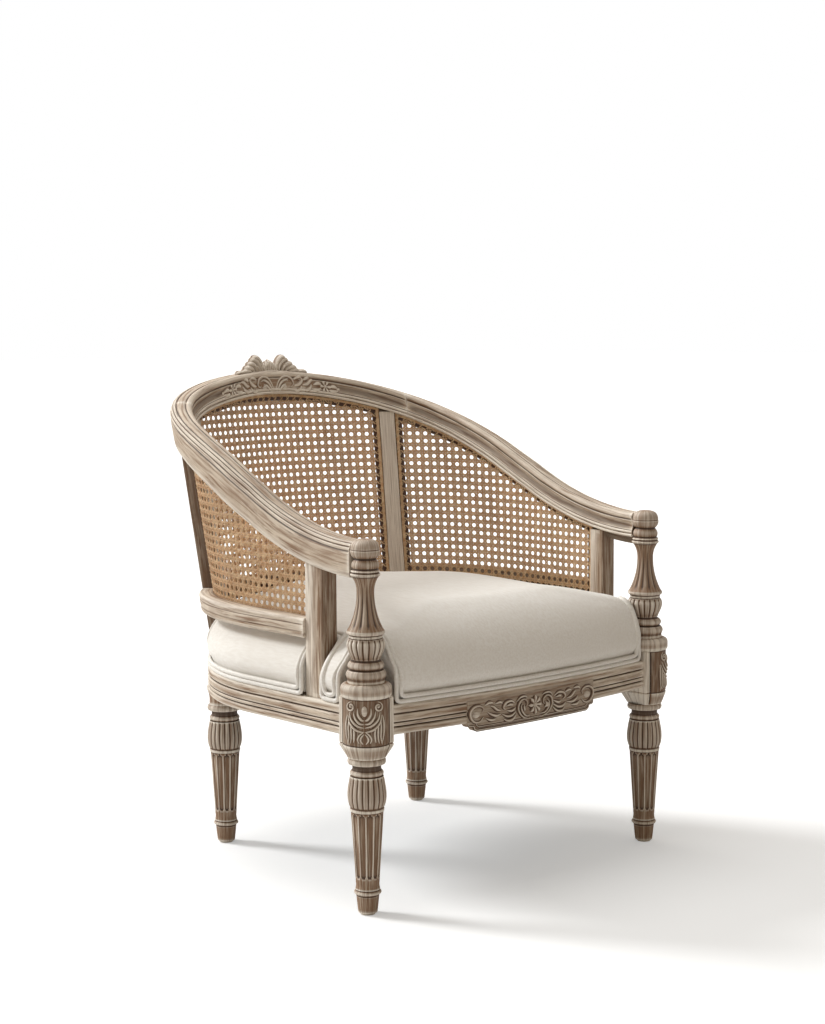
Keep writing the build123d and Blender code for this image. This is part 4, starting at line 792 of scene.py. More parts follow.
# painted shade in the rebate behind the cane, then a real brown stain on corners 0 and 1
stainAndShadeCorners(frontStile, cornerPoints(3, 4), stile["rebateShade"])
stainAndShadeCorners(frontStile, cornerPoints(0, 1), stile["frontStain"])
makePair("frontStile", frontStile, stileWood, "front_stile")
rearStile = sweptStile(rearStileRun, rearStileCorners(), stile["rearStep"])
# painted shade in the rebates behind the cane, then a real brown stain on the outer face
stainAndShadeCorners(rearStile, cornerPoints(1, 2, 5, 6), stile["rebateShade"])
stainAndShadeCorners(rearStile, cornerPoints(3, 4), stile["rearStain"])
makePair("rearStile", rearStile, stileWood, "rear_stile")

# lower cane rails: rounded bars with two worn reeds outside
lowerRail = {"bottom": 0.443, "height": 34.0, "inner": -5.0, "round": 6.0, "step": 0.006, "stain": 0.07}

def lowerOutline():
    inner, top, curve = lowerRail["inner"], lowerRail["height"], lowerRail["round"]
    points = [(inner, 0.0), (12.0, 0.0)] + arc((15.0, curve), curve, curve, -90, 90, 6)
    points += [(20.2, 11.0), (20.8, 12.4), (21.0, 17.0), (20.8, 21.6), (20.2, 23.0), (20.8, 24.4)]
    points += arc((15.0, top - curve), curve, curve, 0, 90, 6) + [(10.0, top), (inner, top)]
    return inMetres(points)

def sweptLowerRail(start, end):
    section = lowerOutline()
    shape = sweepSection(newMesh(), section, spread(start, end, lowerRail["step"]),
                         lambda run, out, rise: tubPoint(run, lowerRail["bottom"] + rise, out))
    # painted shade on the inner face, against the cane
    stainAndShadeCorners(shape, {0, len(section) - 1}, lowerRail["stain"])
    return shape

sideLower = sweptLowerRail(stile["frontRun"] + frontEdge * mm, rearStileRun - rearEdge * mm)
makePair("lowerRail", sideLower, frameWood, "lower_rail")
backStart = rearStileRun + rearEdge * mm
backLower = sweptLowerRail(backStart, 2 * halfLength - backStart)
makePiece("lowerRailBack", backLower, frameWood, ("lower_rail_back",))
print("stiles and lower rails done")

# six-way cane: pairs both ways and two diagonals, woven over and under
weave = {
    "pitch": 0.015, "pairHalf": 0.0020, "strand": 0.0034, "diagonal": 0.0030, "thick": 0.0007,
    "lift": 0.0007, "diagonalLift": 0.0011, "crossing": 0.26, "out": -0.0068, "bottom": 0.449,
    "topSet": 0.022, "topGap": 0.001, "border": 0.012, "borderThick": 0.0003, "borderShade": 2.0,
    "edgeShade": 0.8, "ridgeShade": 0.001, "frontIn": 0.017, "rearIn": 0.016,
}

def caneTop(run):
    return railHeight(run) - weave["topSet"] * railStretch(run) - weave["topGap"]

def strandSpot(strand, step, side):
    run, height, lift = strand["stops"][step]
    across, above = ((-0.5, 0.0), (0.0, 0.5), (0.5, 0.0), (0.0, -0.5))[side]
    run += strand["across"][0] * across * strand["wide"]
    height += strand["across"][1] * across * strand["wide"]
    return tubPoint(run, height, weave["out"] + lift + above * weave["thick"])

# one family of strands, grown together a step at a time
def growStrands(shape, strands):
    corner = shape.verts.layers.int["corner"]
    number = shape.verts.layers.int["strand"]
    edges = []
    for index, strand in enumerate(strands):
        ring = []
        for side in range(4):
            vert = shape.verts.new(strandSpot(strand, 0, side))
            vert[corner] = side
            vert[number] = index
            ring.append(vert)
        edges += [shape.edges.new(pair) for pair in zip(ring, ring[1:] + ring[:1])]
    longest = max(len(strand["stops"]) for strand in strands)
    for step in range(1, longest):
        edges = [edge for edge in edges if len(strands[edge.verts[0][number]]["stops"]) > step]
        verts, edges = extrudeRing(shape, edges)
        for vert in verts:
            vert.co = strandSpot(strands[vert[number]], step, vert[corner])

# stops along a line of the panel, in parts that lie inside its outline
def strandParts(start, way, length, inside, lift, first=0):
    step = weave["pitch"] / 4
    parts = [[]]
    for i in range(first, int(length / step) + 1):
        run, height = start[0] + way[0] * step * i, start[1] + way[1] * step * i
        if inside(run, height):
            parts[-1].append((run, height, lift(run, height)))
        elif parts[-1]:
            parts.append([])
    return [part for part in parts if len(part) > 1]

# flat bands round the panel, where the strands are pressed into the rebate, painted dark as the shade behind
# the outer rows
def addBorder(shape, startRun, endRun):
    wide, thick, bottom, face = weave["border"], weave["borderThick"], weave["bottom"], weave["out"]
    band = [(0.0, -thick), (wide, -thick), (wide, thick), (0.0, thick)]
    runs = spread(startRun, endRun, 0.008)
    sweepSection(shape, band, runs, lambda run, up, out: tubPoint(run, bottom + up, face + out))
    sweepSection(shape, band, runs, lambda run, up, out: tubPoint(run, caneTop(run) - up, face + out))
    for edge, way in ((startRun, 1), (endRun, -1)):
        def upright(share, over, out):
            return tubPoint(edge + way * over, bottom + share * (caneTop(edge) - bottom), face + out)
        sweepSection(shape, band, spread(0.0, 1.0, 0.05), upright)
    stainAndShadeCorners(shape, {0, 1, 2, 3}, weave["borderShade"])

def wovenPanel(startRun, endRun):
    pitch, bottom = weave["pitch"], weave["bottom"]
    columns = round((endRun - startRun) / pitch)
    runStart = (startRun + endRun - columns * pitch) / 2
    tall = max(caneTop(run) for run in spread(startRun, endRun, 0.01)) - bottom
    rows = int(tall / pitch)
    shape = newMesh()
    addBorder(shape, startRun, endRun)
    shape.verts.layers.int.new("strand")
    uprights, levels, risers, fallers = [], [], [], []

    def inside(run, height):
        return startRun <= run <= endRun and bottom <= height <= caneTop(run)

    def overUnder(offset, sign):
        place = offset / pitch % 1.0
        if min(place, 1 - place) >= weave["crossing"]:
            return 0.0
        return sign * weave["lift"] * (1 if place < 0.5 else -1)

    def addStrands(family, parts, wide, across):
        family += [{"stops": part, "wide": weave[wide], "across": across} for part in parts]

    for column in range(columns + 1):
        for side in (-1, 1):
            start = (runStart + column * pitch + side * weave["pairHalf"], bottom + pitch / 8)
            parts = strandParts(start, (0, 1), tall, inside,
                                lambda run, height: overUnder(height - bottom, side))
            addStrands(uprights, parts, "strand", (1, 0))
    for row in range(rows + 1):
        for side in (-1, 1):
            start = (runStart - pitch + pitch / 8, bottom + row * pitch + side * weave["pairHalf"])
            parts = strandParts(start, (1, 0), endRun - startRun + 2 * pitch, inside,
                                lambda run, height: overUnder(run - runStart, -side))
            addStrands(levels, parts, "strand", (0, 1))
    for column in range(-rows - 1, columns + rows + 2):
        for family, sign in ((risers, 1), (fallers, -1)):
            start = (runStart + column * pitch, bottom + pitch / 2)
            parts = strandParts(
                start, (sign, 1), tall + pitch, inside,
                lambda run, height: sign * weave["diagonalLift"] * cos(2 * pi * (run - runStart) / pitch), -2)
            addStrands(family, parts, "diagonal", (-sign * 0.7071, 0.7071))
    for family in (uprights, levels, risers, fallers):
        growStrands(shape, family)
    # strand edges get painted shade between the strands; ridges are kept clear of it
    corner = shape.verts.layers.int["corner"]
    shade = shape.verts.layers.float["shade"]
    for vert in shape.verts:
        if vert[shade] < 1.0:
            vert[shade] = weave["edgeShade"] if vert[corner] in (0, 2) else weave["ridgeShade"]
    return shape

sideCane = wovenPanel(stile["frontRun"] + weave["frontIn"], rearStileRun - weave["rearIn"])
makePair("cane", sideCane, cane, "cane")
backRun = rearStileRun + weave["rearIn"]
makePiece("caneBack", wovenPanel(backRun, 2 * halfLength - backRun), cane, ("cane_back",))
print("cane woven")

# carved strokes: rounded ridges that follow a drawn line and taper to its ends, sizes in millimetres
carving = {
    "perSegment": 5, "sunk": 1.2, "tip": 0.22, "ridge": 4, "skirt": 1.8, "girth": 0.004,
    "stain": 0.10, "shoulderWashAndShade": 0.03,
}

# a smooth line through the points drawn
def smoothLine(points, count):
    spots = [Vector(point) for point in points]
    ends = [spots[0] * 2 - spots[1]] + spots + [spots[-1] * 2 - spots[-2]]
    line = []
    for i in range(1, len(ends) - 2):
        before, start, end, after = ends[i - 1:i + 3]
        bend = 2 * before - 5 * start + 4 * end - after
        twist = 3 * start - before - 3 * end + after
        for step in range(count):
            t = step / count
            line.append(0.5 * (2 * start + (end - before) * t + bend * t**2 + twist * t**3))
    return line + [spots[-1]]

# place gives the spot for a drawing's x and z and a height above the ground
def carveStroke(shape, points, place, width, height, bothFaces=False, swell=0.5):
    line = smoothLine(points, carving["perSegment"])
    last = len(line) - 1
    if bothFaces:
        section = [(cos(radians(36 * i)), sin(radians(36 * i))) for i in range(10)]
    else:
        section = [(1 - i / 3, max(0.04, (1 - (1 - i / 3)**2)**0.6)) for i in range(7)]
        skirt = 1 + carving["skirt"] / width
        section = [(skirt, 0.03)] + section + [(-skirt, 0.03), (-skirt, -1.0), (skirt, -1.0)]

    def spot(station, across, above):
        ahead = line[min(station + 1, last)] - line[max(station - 1, 0)]
        side = Vector((-ahead.y, ahead.x)).normalized()
        share = station / last
        rise = share / swell if share < swell else min(1.0, (1 - share) / (1 - swell))
        full = carving["tip"] + (1 - carving["tip"]) * sin(pi / 2 * rise)**0.8
        here = line[station] + side * across * width / 2 * full
        depth = -carving["sunk"] if above < 0 and not bothFaces else above * height * full
        return place(here.x, here.y, depth)

    sweepSection(shape, section, list(range(last + 1)), spot, carving["girth"])

def carveBothSides(shape, strokes, place, width, height, bothFaces=False, swell=0.5):
    for points in strokes:
        for side in (1, -1):
            mirrored = [(side * x, z) for x, z in points]
            carveStroke(shape, mirrored, place, width, height, bothFaces, swell)

# a flattened dome
def carveBoss(shape, centre, place, wide, tall, height):
    made = bmesh.ops.create_uvsphere(shape, u_segments=16, v_segments=8, radius=1.0)["verts"]
    grain = shape.verts.layers.float_vector["grain"]
    corner = shape.verts.layers.int["corner"]
    for vert in made:
        vert[corner] = carving["ridge"]
        vert[grain] = (vert.co.x * 0.005, vert.co.y * 0.005, 0.0)
        vert.co = place(centre[0] + vert.co.x * wide, centre[1] + vert.co.y * tall, vert.co.z * height)

def carveRosette(shape, centre, place, wide, tall, petals, height):
    middle = Vector(centre)
    for petal in range(petals):
        angle = 2 * pi * petal / petals
        way = Vector((cos(angle) * wide, sin(angle) * tall))
        points = [middle + way * 0.22, middle + way * 0.6, middle + way]
        carveStroke(shape, points, place, 2.1 * (wide + tall) / petals, height, swell=0.7)
    carveBoss(shape, centre, place, wide * 0.26, tall * 0.26, height * 1.15)

# a coil that starts at its top and closes on a boss
def carveScroll(shape, centre, place, radius, turns, width, height, hand):
    points = []
    for i in range(15):
        angle = pi / 2 + hand * 2 * pi * turns * i / 14
        reach = radius * (1 - 0.72 * i / 14)
        points.append((centre[0] + reach * cos(angle), centre[1] + reach * sin(angle)))
    carveStroke(shape, points, place, width, height, swell=0.35)
    carveBoss(shape, centre, place, radius * 0.3, radius * 0.3, height * 1.1)

# dark along both sides of every stroke, on its skirt and more thinly on its shoulders: partly wash left in
# the crevice, partly painted shade
def stainAndShadeStrokes(shape, depth=carving["stain"]):
    stainAndShadeCorners(shape, {0, 1, 7, 8, 9, 10}, depth)
    stainAndShadeCorners(shape, {2, 6}, carving["shoulderWashAndShade"])

# crest: curled leaf tufts each side of a middle palmette, on a long low bar
crestCut = {"up": 20.5, "in": -3.0, "fall": 0.02, "stain": 0.12}

def crestTop(x, z, depth):
    height = railHeight(halfLength) + (crestCut["up"] + z) * mm - abs(x) * crestCut["fall"] * mm
    return tubPoint(halfLength - x * mm, height, (crestCut["in"] - depth) * mm)

tuft = [
    [(21, -3), (18, 8), (21, 19), (29, 28), (37, 29), (41, 24)],
    [(24, -3), (24, 10), (31, 21), (41, 25), (48, 20)],
    [(30, -3), (33, 8), (41, 16), (51, 17), (56, 12)],
    [(36, -3), (42, 6), (51, 10), (60, 9), (64, 4)],
    [(44, -3), (52, 3), (62, 4), (72, 1)],
]
veins = [[(22, -2), (22, 12), (30, 23)], [(29, -2), (33, 10), (42, 18)]]
tips = [[(58, -1), (70, 2), (80, 2), (87, -1)], [(2, -3), (5, 7), (8, 13)], [(6, -3), (10, 3), (13, 8)]]
palmette = [[(3, -2), (6, 11), (7, 22)], [(7, -2), (11, 9), (13, 18)], [(12, -2), (15, 6), (17, 14)]]
bar = [(-84, -2.0), (-40, 0.0), (0, 1.0), (40, 0.0), (84, -2.0)]
crest = newMesh()
carveBothSides(crest, tuft, crestTop, 11.0, 10.0, bothFaces=True, swell=0.6)
carveBothSides(crest, veins, crestTop, 4.0, 11.5, bothFaces=True)
carveBothSides(crest, tips, crestTop, 7.5, 8.0, bothFaces=True, swell=0.6)
carveStroke(crest, [(0, -3), (0, 11), (0, 25)], crestTop, 11.0, 11.0, bothFaces=True, swell=0.7)
carveBothSides(crest, palmette, crestTop, 8.5, 10.0, bothFaces=True, swell=0.65)
carveStroke(crest, bar, crestTop, 7.0, 12.0, bothFaces=True)
# dark lines along both sides of each tuft stroke: partly wash in the crevices, partly painted shade
stainAndShadeCorners(crest, {0, 5}, crestCut["stain"])
makePiece("crestCarving", crest, carvedWood, ("crest_carving",))

# relief along the crest's inner face: a low ground, arcs that open from the middle, leaves and end flowers
reliefCut = {"in": -17.8, "up": 2.0, "tall": 1.22, "stain": 0.07}

def crestFace(x, z, depth):
    rise = (z * reliefCut["tall"] + reliefCut["up"]) * mm
    return railPoint(halfLength - x * mm, (reliefCut["in"] - depth) * mm, rise)

ground = [(-146, -4), (-70, -4), (0, -4), (70, -4), (146, -4)]
arcs = [
    [(1.5, -18), (6, -6), (16, 5), (30, 9), (42, 5), (46, -3), (40, -8), (34, -4)],
    [(4.5, -19), (10, -9), (18, -1), (29, 3), (36, 1)],
    [(8, -19.5), (14, -12), (22, -6), (30, -4)],
]
leaves = [
    [(44, -12), (54, -14), (62, -11), (66, -5)], [(48, -6), (58, -4), (66, 2), (68, 8)],
    [(48, 4), (56, 8), (62, 9), (66, 6)], [(66, -10), (76, -12), (84, -8), (88, -2)],
    [(68, -4), (78, -2), (86, 4), (92, 5)], [(70, 4), (78, 8), (84, 8)],
    [(90, -9), (100, -10), (108, -6)], [(92, -2), (102, 1), (110, -1)],
    [(124, -8), (134, -9), (143, -7)], [(126, -3), (134, -1), (142, -3)],
]
relief = newMesh()
carveStroke(relief, ground, crestFace, 27.0, 1.6)
carveBothSides(relief, arcs, crestFace, 7.0, 4.2)
carveBothSides(relief, leaves, crestFace, 10.0, 4.2, swell=0.45)
for side in (1, -1):
    carveRosette(relief, (side * 117, -3), crestFace, 11.0, 10.0, 6, 4.2)
    carveBoss(relief, (side * 26, -9), crestFace, 5.0, 4.0, 3.6)
stainAndShadeStrokes(relief, reliefCut["stain"])
makePiece("crestRelief", relief, carvedWood, ("crest_relief",))

# apron: rosette between heart scrolls, sprigs, curled end leaves, and two beads along the foot
def apronFace(x, z, depth):
    return Vector((x * mm, bowEdge(x * mm) - tablet["proud"] - depth * mm, (310.0 + z) * mm))

hearts = [
    [(5, -21), (17, -22), (32, -16), (41, -3), (38, 9), (28, 13), (20, 8), (21, 0), (28, -1)],
    [(12, -17), (23, -16), (32, -8), (34, 1), (30, 6)],
    [(18, 15), (26, 18), (36, 17), (44, 10)],
]
sprigs = [
    [(44, -10), (54, -18), (66, -19), (74, -15)], [(45, -5), (56, -11), (68, -11), (78, -6)],
    [(46, 1), (56, -3), (66, -2)], [(48, 9), (58, 14), (70, 12), (75, 5), (70, 0)],
    [(52, 6), (60, 8), (66, 6)], [(76, 12), (84, 15), (93, 13)],
    [(80, 0), (90, 3), (98, 9), (104, 11)], [(80, -6), (92, -7), (102, -4), (110, 1)],
    [(92, -13), (104, -13), (114, -9)], [(98, 16), (108, 17), (116, 13)],
    [(24, -8), (27, -3), (26, 3)],
]
foot = [(-152, -12), (-151, -17.5), (-146, -18.6), (-140.5, -19.5), (-138.5, -24), (-133, -26.6)]
foot += [(-120, -27.0), (0, -27.0)]
foot += [(-x, z) for x, z in reversed(foot[:-1])]
innerFoot = [(x * 0.965, z + 5.4) for x, z in foot[1:-1]]
endLeaf = [(119, -6), (128, -13), (140, -12), (148, -4), (149, 6), (141, 13), (129, 14), (120, 9), (122, 2)]
apron = newMesh()
carveRosette(apron, (0, 0), apronFace, 15.0, 16.5, 8, 5.0)
carveBothSides(apron, hearts, apronFace, 4.6, 4.4)
carveBothSides(apron, sprigs, apronFace, 6.0, 4.2, swell=0.45)
carveStroke(apron, foot, apronFace, tablet["bead"], 2.0)
carveStroke(apron, innerFoot, apronFace, tablet["thin"], 1.3)
for side in (1, -1):
    carveStroke(apron, [(side * x, z) for x, z in endLeaf], apronFace, 6.0, 4.4)
    carveBoss(apron, (side * 135, 0), apronFace, 8.0, 6.0, 3.6)
    carveBoss(apron, (side * 31, -4), apronFace, 4.0, 4.5, 3.8)
stainAndShadeStrokes(apron)
makePiece("apronCarving", apron, carvedWood, ("apron_carving",))

# block panels: volutes, draped swags, hanging leaves and a bud
def blockFace(x, z, depth):
    angle = radians(-45) + x / block["panel"]
    reach = (block["panel"] + depth) * mm * block["sunk"]
    return Vector((tub["radius"] + reach * cos(angle), postY + reach * sin(angle), (325.0 + z) * mm))

swags = [
    [(27, 17), (22, 5), (12, -4), (0.5, -8)], [(30, 12), (25, -1), (14, -11), (0.5, -15)],
    [(19, 19), (15, 8), (8, 0), (0.5, -2)], [(11, 24), (10, 14), (5, 6), (0.5, 4)],
]
drapes = [
    [(32, 12), (33, -4), (32, -22), (30, -36)], [(28, 5), (27.5, -8), (27, -24), (31, -37)],
    [(24, -1), (22, -12), (22, -24), (25, -35)], [(19, -8), (16.5, -16), (17, -26), (19, -33)],
]
bud = [[(0.5, -18), (5, -23), (6, -29), (2, -35)], [(1, -14), (8, -20), (11, -27), (9, -34)]]
blockCarving = newMesh()
for side in (1, -1):
    carveScroll(blockCarving, (side * 23, 26), blockFace, 8.0, 1.4, 4.6, 5.0, -side)
carveBothSides(blockCarving, swags, blockFace, 6.0, 5.2, swell=0.6)
carveBothSides(blockCarving, drapes, blockFace, 5.4, 4.8, swell=0.45)
carveBothSides(blockCarving, bud, blockFace, 5.0, 4.0)
carveBoss(blockCarving, (0, 19), blockFace, 5.0, 9.0, 4.4)
stainAndShadeStrokes(blockCarving)
makePair("blockCarving", blockCarving, carvedWood, "block_carving")
print("carving done")

# seat: the foam's shape, remeshed, swollen by cloth pressure and settled
seat = {
    "voxel": 0.0055, "pressure": 3.0, "frames": 20, "quality": 4, "reach": 0.004, "settle": 14, "loose": 0.3,
    "foot": 0.362, "footSkip": 0.002, "footPasses": 4, "holdRise": 0.004, "freeRise": 0.040,
    "postKeep": 0.050, "stileKeep": 0.014, "keepEase": 0.020,
    "roll": 0.220, "rise": 0.11373, "spring": 0.376, "swell": 0.004, "frontShare": 0.55,
}

def nodeShape(name):
    shape = asShape(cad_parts[name].data)
    bmesh.ops.remove_doubles(shape, verts=shape.verts, dist=1e-5)
    bmesh.ops.dissolve_limit(shape, angle_limit=radians(1), verts=shape.verts, edges=shape.edges)
    return shape

def bakedMesh(piece):
    graph = bpy.context.evaluated_depsgraph_get()
    return bpy.data.meshes.new_from_object(piece.evaluated_get(graph))

# room left for the cloth to move at a spot: none at the foot, little beside posts and stiles
def seatFreedom(spot):
    side = abs(spot.x)
    free = clamp((spot.z - seat["foot"] - seat["holdRise"]) / seat["freeRise"])
    rooms = [sqrt((side - tub["radius"])**2 + (spot.y - postY)**2) - seat["postKeep"]]
    for run, half in ((stile["frontRun"], frontEdge * mm), (rearStileRun, rearEdge * mm)):
        middle = tubPoint(run, tub["seatTop"])
        rooms.append(sqrt((side - middle.x)**2 + (spot.y - middle.y)**2) - half - seat["stileKeep"])
    return free * clamp(min(rooms) / seat["keepEase"])

# cloth pressure, each point held back to its own room, then smoothed
def swellPad(pad):
    start = [vert.co.copy() for vert in pad.data.vertices]
    freedom = [seatFreedom(spot) for spot in start]
    pins = pad.vertex_groups.new(name="held")
    for index, share in enumerate(freedom):
        if share < 1.0:
            pins.add([index], 1.0 - share, "REPLACE")
    cloth = pad.modifiers.new("swell", "CLOTH")
    cloth.settings.quality = seat["quality"]
    cloth.settings.use_pressure = True
    cloth.settings.uniform_pressure_force = seat["pressure"]
    cloth.settings.effector_weights.gravity = 0.0
    cloth.settings.vertex_group_mass = "held"
    cloth.collision_settings.use_collision = False
    for number in range(1, seat["frames"] + 1):
        bpy.context.scene.frame_set(number)
    swollen = bakedMesh(pad)
    pad.modifiers.clear()
    pad.vertex_groups.clear()
    bpy.context.scene.frame_set(1)
    shape = asShape(swollen)
    for vert in shape.verts:
        shift = vert.co - start[vert.index]
        room = seat["reach"] * freedom[vert.index]
        if shift.length > room:
            shift = shift.normalized() * room
        vert.co = start[vert.index] + shift
    easy = [vert for vert in shape.verts if freedom[vert.index] > seat["loose"]]
    smoothOver(shape, easy, seat["settle"])
    pad.data = asMesh("seatPad", shape)
    print("cloth swollen and settled")

def paddedSeat():
    pad = addObject("seatPad", asMesh("seatPad", nodeShape("seat_foam")))
    remesh = pad.modifiers.new("even", "REMESH")
    remesh.mode = "VOXEL"
    remesh.voxel_size = seat["voxel"]
    shape = asShape(bakedMesh(pad))
    pad.modifiers.clear()
    loose = [vert for vert in shape.verts if vert.co.z > seat["foot"] + seat["footSkip"]]
    smoothOver(shape, loose, seat["footPasses"])
    pad.data = asMesh("seatPad", shape)
    swellPad(pad)
    return pad

# linen drawn over the foam: close round the post above its block, a hair fuller, faint puckers above the welt
drape = {
    "hug": 0.012, "hugFrom": 0.378, "hugRise": 0.050, "hugReach": 0.105, "hugEase": 0.050,
    "full": 0.0016, "fullFrom": 0.351, "fullRise": 0.008, "pucker": 0.0011, "puckerTall": 0.055,
    "puckerTurns": 16.0, "puckerRise": 5, "puckerSeed": 3.0, "middleY": 0.02, "smoothFrom": 0.372,
    "sharp": 80,
}

def postHug(z):
    share = clamp((z - drape["hugFrom"]) / drape["hugRise"])
    return drape["hug"] * share * share * (3 - 2 * share)

def puckerAt(spot):
    height = (spot.z - seat["foot"]) / drape["puckerTall"]
    if not 0 < height < 1:
        return 0.0
    turn = atan2(spot.y - drape["middleY"], spot.x) * drape["puckerTurns"]
    ruffle = noise.noise(Vector((turn, drape["puckerSeed"], spot.z * drape["puckerRise"])))
    return drape["pucker"] * (1 - height)**1.5 * sin(min(1.0, height * 5) * pi / 2) * ruffle

def drapeLinen(shape):
    bmesh.ops.recalc_face_normals(shape, faces=shape.faces)
    shape.normal_update()
    for vert in shape.verts:
        away = Vector((abs(vert.co.x) - tub["radius"], vert.co.y - postY))
        draw = postHug(vert.co.z) * clamp((drape["hugReach"] - away.length) / drape["hugEase"])
        toPost = away.normalized() * -draw
        vert.co.x += toPost.x if vert.co.x > 0 else -toPost.x
        vert.co.y += toPost.y
        lift = clamp((vert.co.z - drape["fullFrom"]) / drape["fullRise"])
        vert.co += vert.normal * (drape["full"] * lift * seatFreedom(vert.co) + puckerAt(vert.co))
    for _ in range(2):
        smoothOver(shape, [vert for vert in shape.verts if vert.co.z > drape["smoothFrom"]], 1)

pad = paddedSeat()
padShape = asShape(pad.data)
drapeLinen(padShape)
padTree = BVHTree.FromBMesh(padShape)
bpy.data.objects.remove(pad)
seatPad = makePiece("seatCushion", padShape, linen, ("seat_cover", "seat_foam"), drape["sharp"])
fine = seatPad.modifiers.new("fine", "SUBSURF")
fine.levels = 1
fine.render_levels = 1
print("seat padded:", len(seatPad.data.polygons), "faces")

# double welt round the foot, up and round the posts and stiles
welt = {
    "radius": 0.0039, "inset": 0.0027, "rows": (0.350, 0.358), "gap": 0.008, "notch": 0.050, "lift": 0.0012,
    "step": 0.005, "turnStep": 0.09, "short": 0.004, "clear": 0.004, "frontIn": 0.016, "rearIn": 0.017,
    "cornerAt": 0.29, "restFrom": 0.362, "restRise": 0.016, "smooth": 3,
}

# height of the seat's dome at a distance in from its edge
def domeHeight(inset, share=1.0):
    angle = acos(max(cos(radians(80)), min(1.0, 1 - (inset + seat["swell"]) / (seat["roll"] * share))))
    return seat["spring"] + seat["rise"] * sin(angle)

def frontHeight(x, y):
    return domeHeight(max(0.0, y - bowEdge(x)), seat["frontShare"])

def weltLine(row):
    aside = welt["gap"] * row
    level = welt["rows"][row]
    step = welt["step"]
    edge = seatRail["outer"] - welt["inset"]
    reach = welt["notch"] + aside
    sideTop = domeHeight(welt["inset"]) - welt["short"]

    def frontY(x):
        return bowEdge(x, -welt["inset"])

    def side(run, out, z):
        return Vector((*tubPoint(run, tub["seatTop"], out).xy, z))

    def overTop(run, out):
        return side(run, out, domeHeight(seatRail["outer"] - out))

    cornerX = tub["radius"] - sqrt(reach**2 - (frontY(welt["cornerAt"]) - postY)**2)
    cornerY = frontY(cornerX)
    line = [Vector((x, frontY(x), level)) for x in spread(0.0, cornerX, step)]
    frontTop = frontHeight(cornerX, cornerY) - welt["short"]
    line += [Vector((cornerX, cornerY, z)) for z in spread(level, frontTop, step)[1:]]
    start = atan2(cornerY - postY, cornerX - tub["radius"])
    start = start if start > 0 else start + 2 * pi
    run = sqrt(reach**2 - edge**2)
    for angle in spread(start, atan2(run, edge), welt["turnStep"])[1:]:
        x, y = tub["radius"] + reach * cos(angle), postY + reach * sin(angle)
        z = min(frontHeight(x, y), domeHeight(max(0.0, seatRail["outer"] - (x - tub["radius"]))))
        close = reach - postHug(z)
        line.append(Vector((tub["radius"] + close * cos(angle), postY + close * sin(angle), z)))
    line += [side(run, edge, z) for z in spread(sideTop, level, step)]
    stiles = (
        (stile["frontRun"], stile["frontHalf"] * mm, frontEdge * mm, welt["frontIn"]),
        (rearStileRun, rearEdge * mm, rearEdge * mm, welt["rearIn"]),
    )
    for middle, before, after, inner in stiles:
        first, last = middle - before - welt["clear"] - aside, middle + after + welt["clear"] + aside
        inside = -inner - welt["clear"] - aside
        line += [side(r, edge, level) for r in spread(run, first, step)[1:]]
        line += [side(first, edge, z) for z in spread(level, sideTop, step)[1:]]
        line += [overTop(first, out) for out in spread(edge, inside, step)[1:]]
        line += [overTop(r, inside) for r in spread(first, last, step)[1:]]
        line += [overTop(last, out) for out in spread(inside, edge, step)[1:]]
        line += [side(last, edge, z) for z in spread(sideTop, level, step)[1:]]
        run = last
    line += [side(r, edge, level) for r in spread(run, halfLength, step)[1:]]
    return line + [Vector((-spot.x, spot.y, spot.z)) for spot in reversed(line[1:-1])]

# lays the part of the line above the foot on the cushion, then evens it
def restOnPad(line):
    rested = []
    for spot in line:
        share = clamp((spot.z - welt["restFrom"]) / welt["restRise"])
        found, normal = padTree.find_nearest(spot)[:2]
        rested.append(spot.lerp(found + normal * welt["lift"], share))
    count = len(rested)
    for _ in range(welt["smooth"]):
        rested = [(rested[i - 1] + rested[i] * 2 + rested[(i + 1) % count]) / 4 for i in range(count)]
    return rested

weltCurve = bpy.data.curves.new("weltLine", "CURVE")
weltCurve.dimensions = "3D"
weltCurve.bevel_depth = welt["radius"]
weltCurve.bevel_resolution = 2
weltCurve.use_fill_caps = False
for row in range(len(welt["rows"])):
    spots = restOnPad(weltLine(row))
    spline = weltCurve.splines.new("POLY")
    spline.points.add(len(spots) - 1)
    spline.use_cyclic_u = True
    for point, spot in zip(spline.points, spots):
        point.co = (*spot, 1.0)
weltSource = addObject("weltSource", weltCurve)
weltShape = asShape(bakedMesh(weltSource))
bpy.data.objects.remove(weltSource)
makePiece("seatWelt", weltShape, linen, ("seat_welt",), drape["sharp"])
print("welt laid")

# deck and dust cover: thin cloths tacked to the rails, a little slack in the middle
cloths = {
    "dustCover": ("dust_cover", cambric, "dust_cloth", -0.006, "rear_seat_rail"),
    "seatBurlap": ("seat_burlap", jute, "burlap", -0.003, "rear_seat_rail"),
    "webbingLong": ("seat_webbing_long", jute, "webbing", -0.003, "rear_seat_rail"),
    "webbingCross": ("seat_webbing_cross", jute, "webbing", -0.003, "side_seat_rail_left"),
}
slack = {"cut": 0.02, "halfWide": 0.30, "halfDeep": 0.28, "middleY": -0.03}

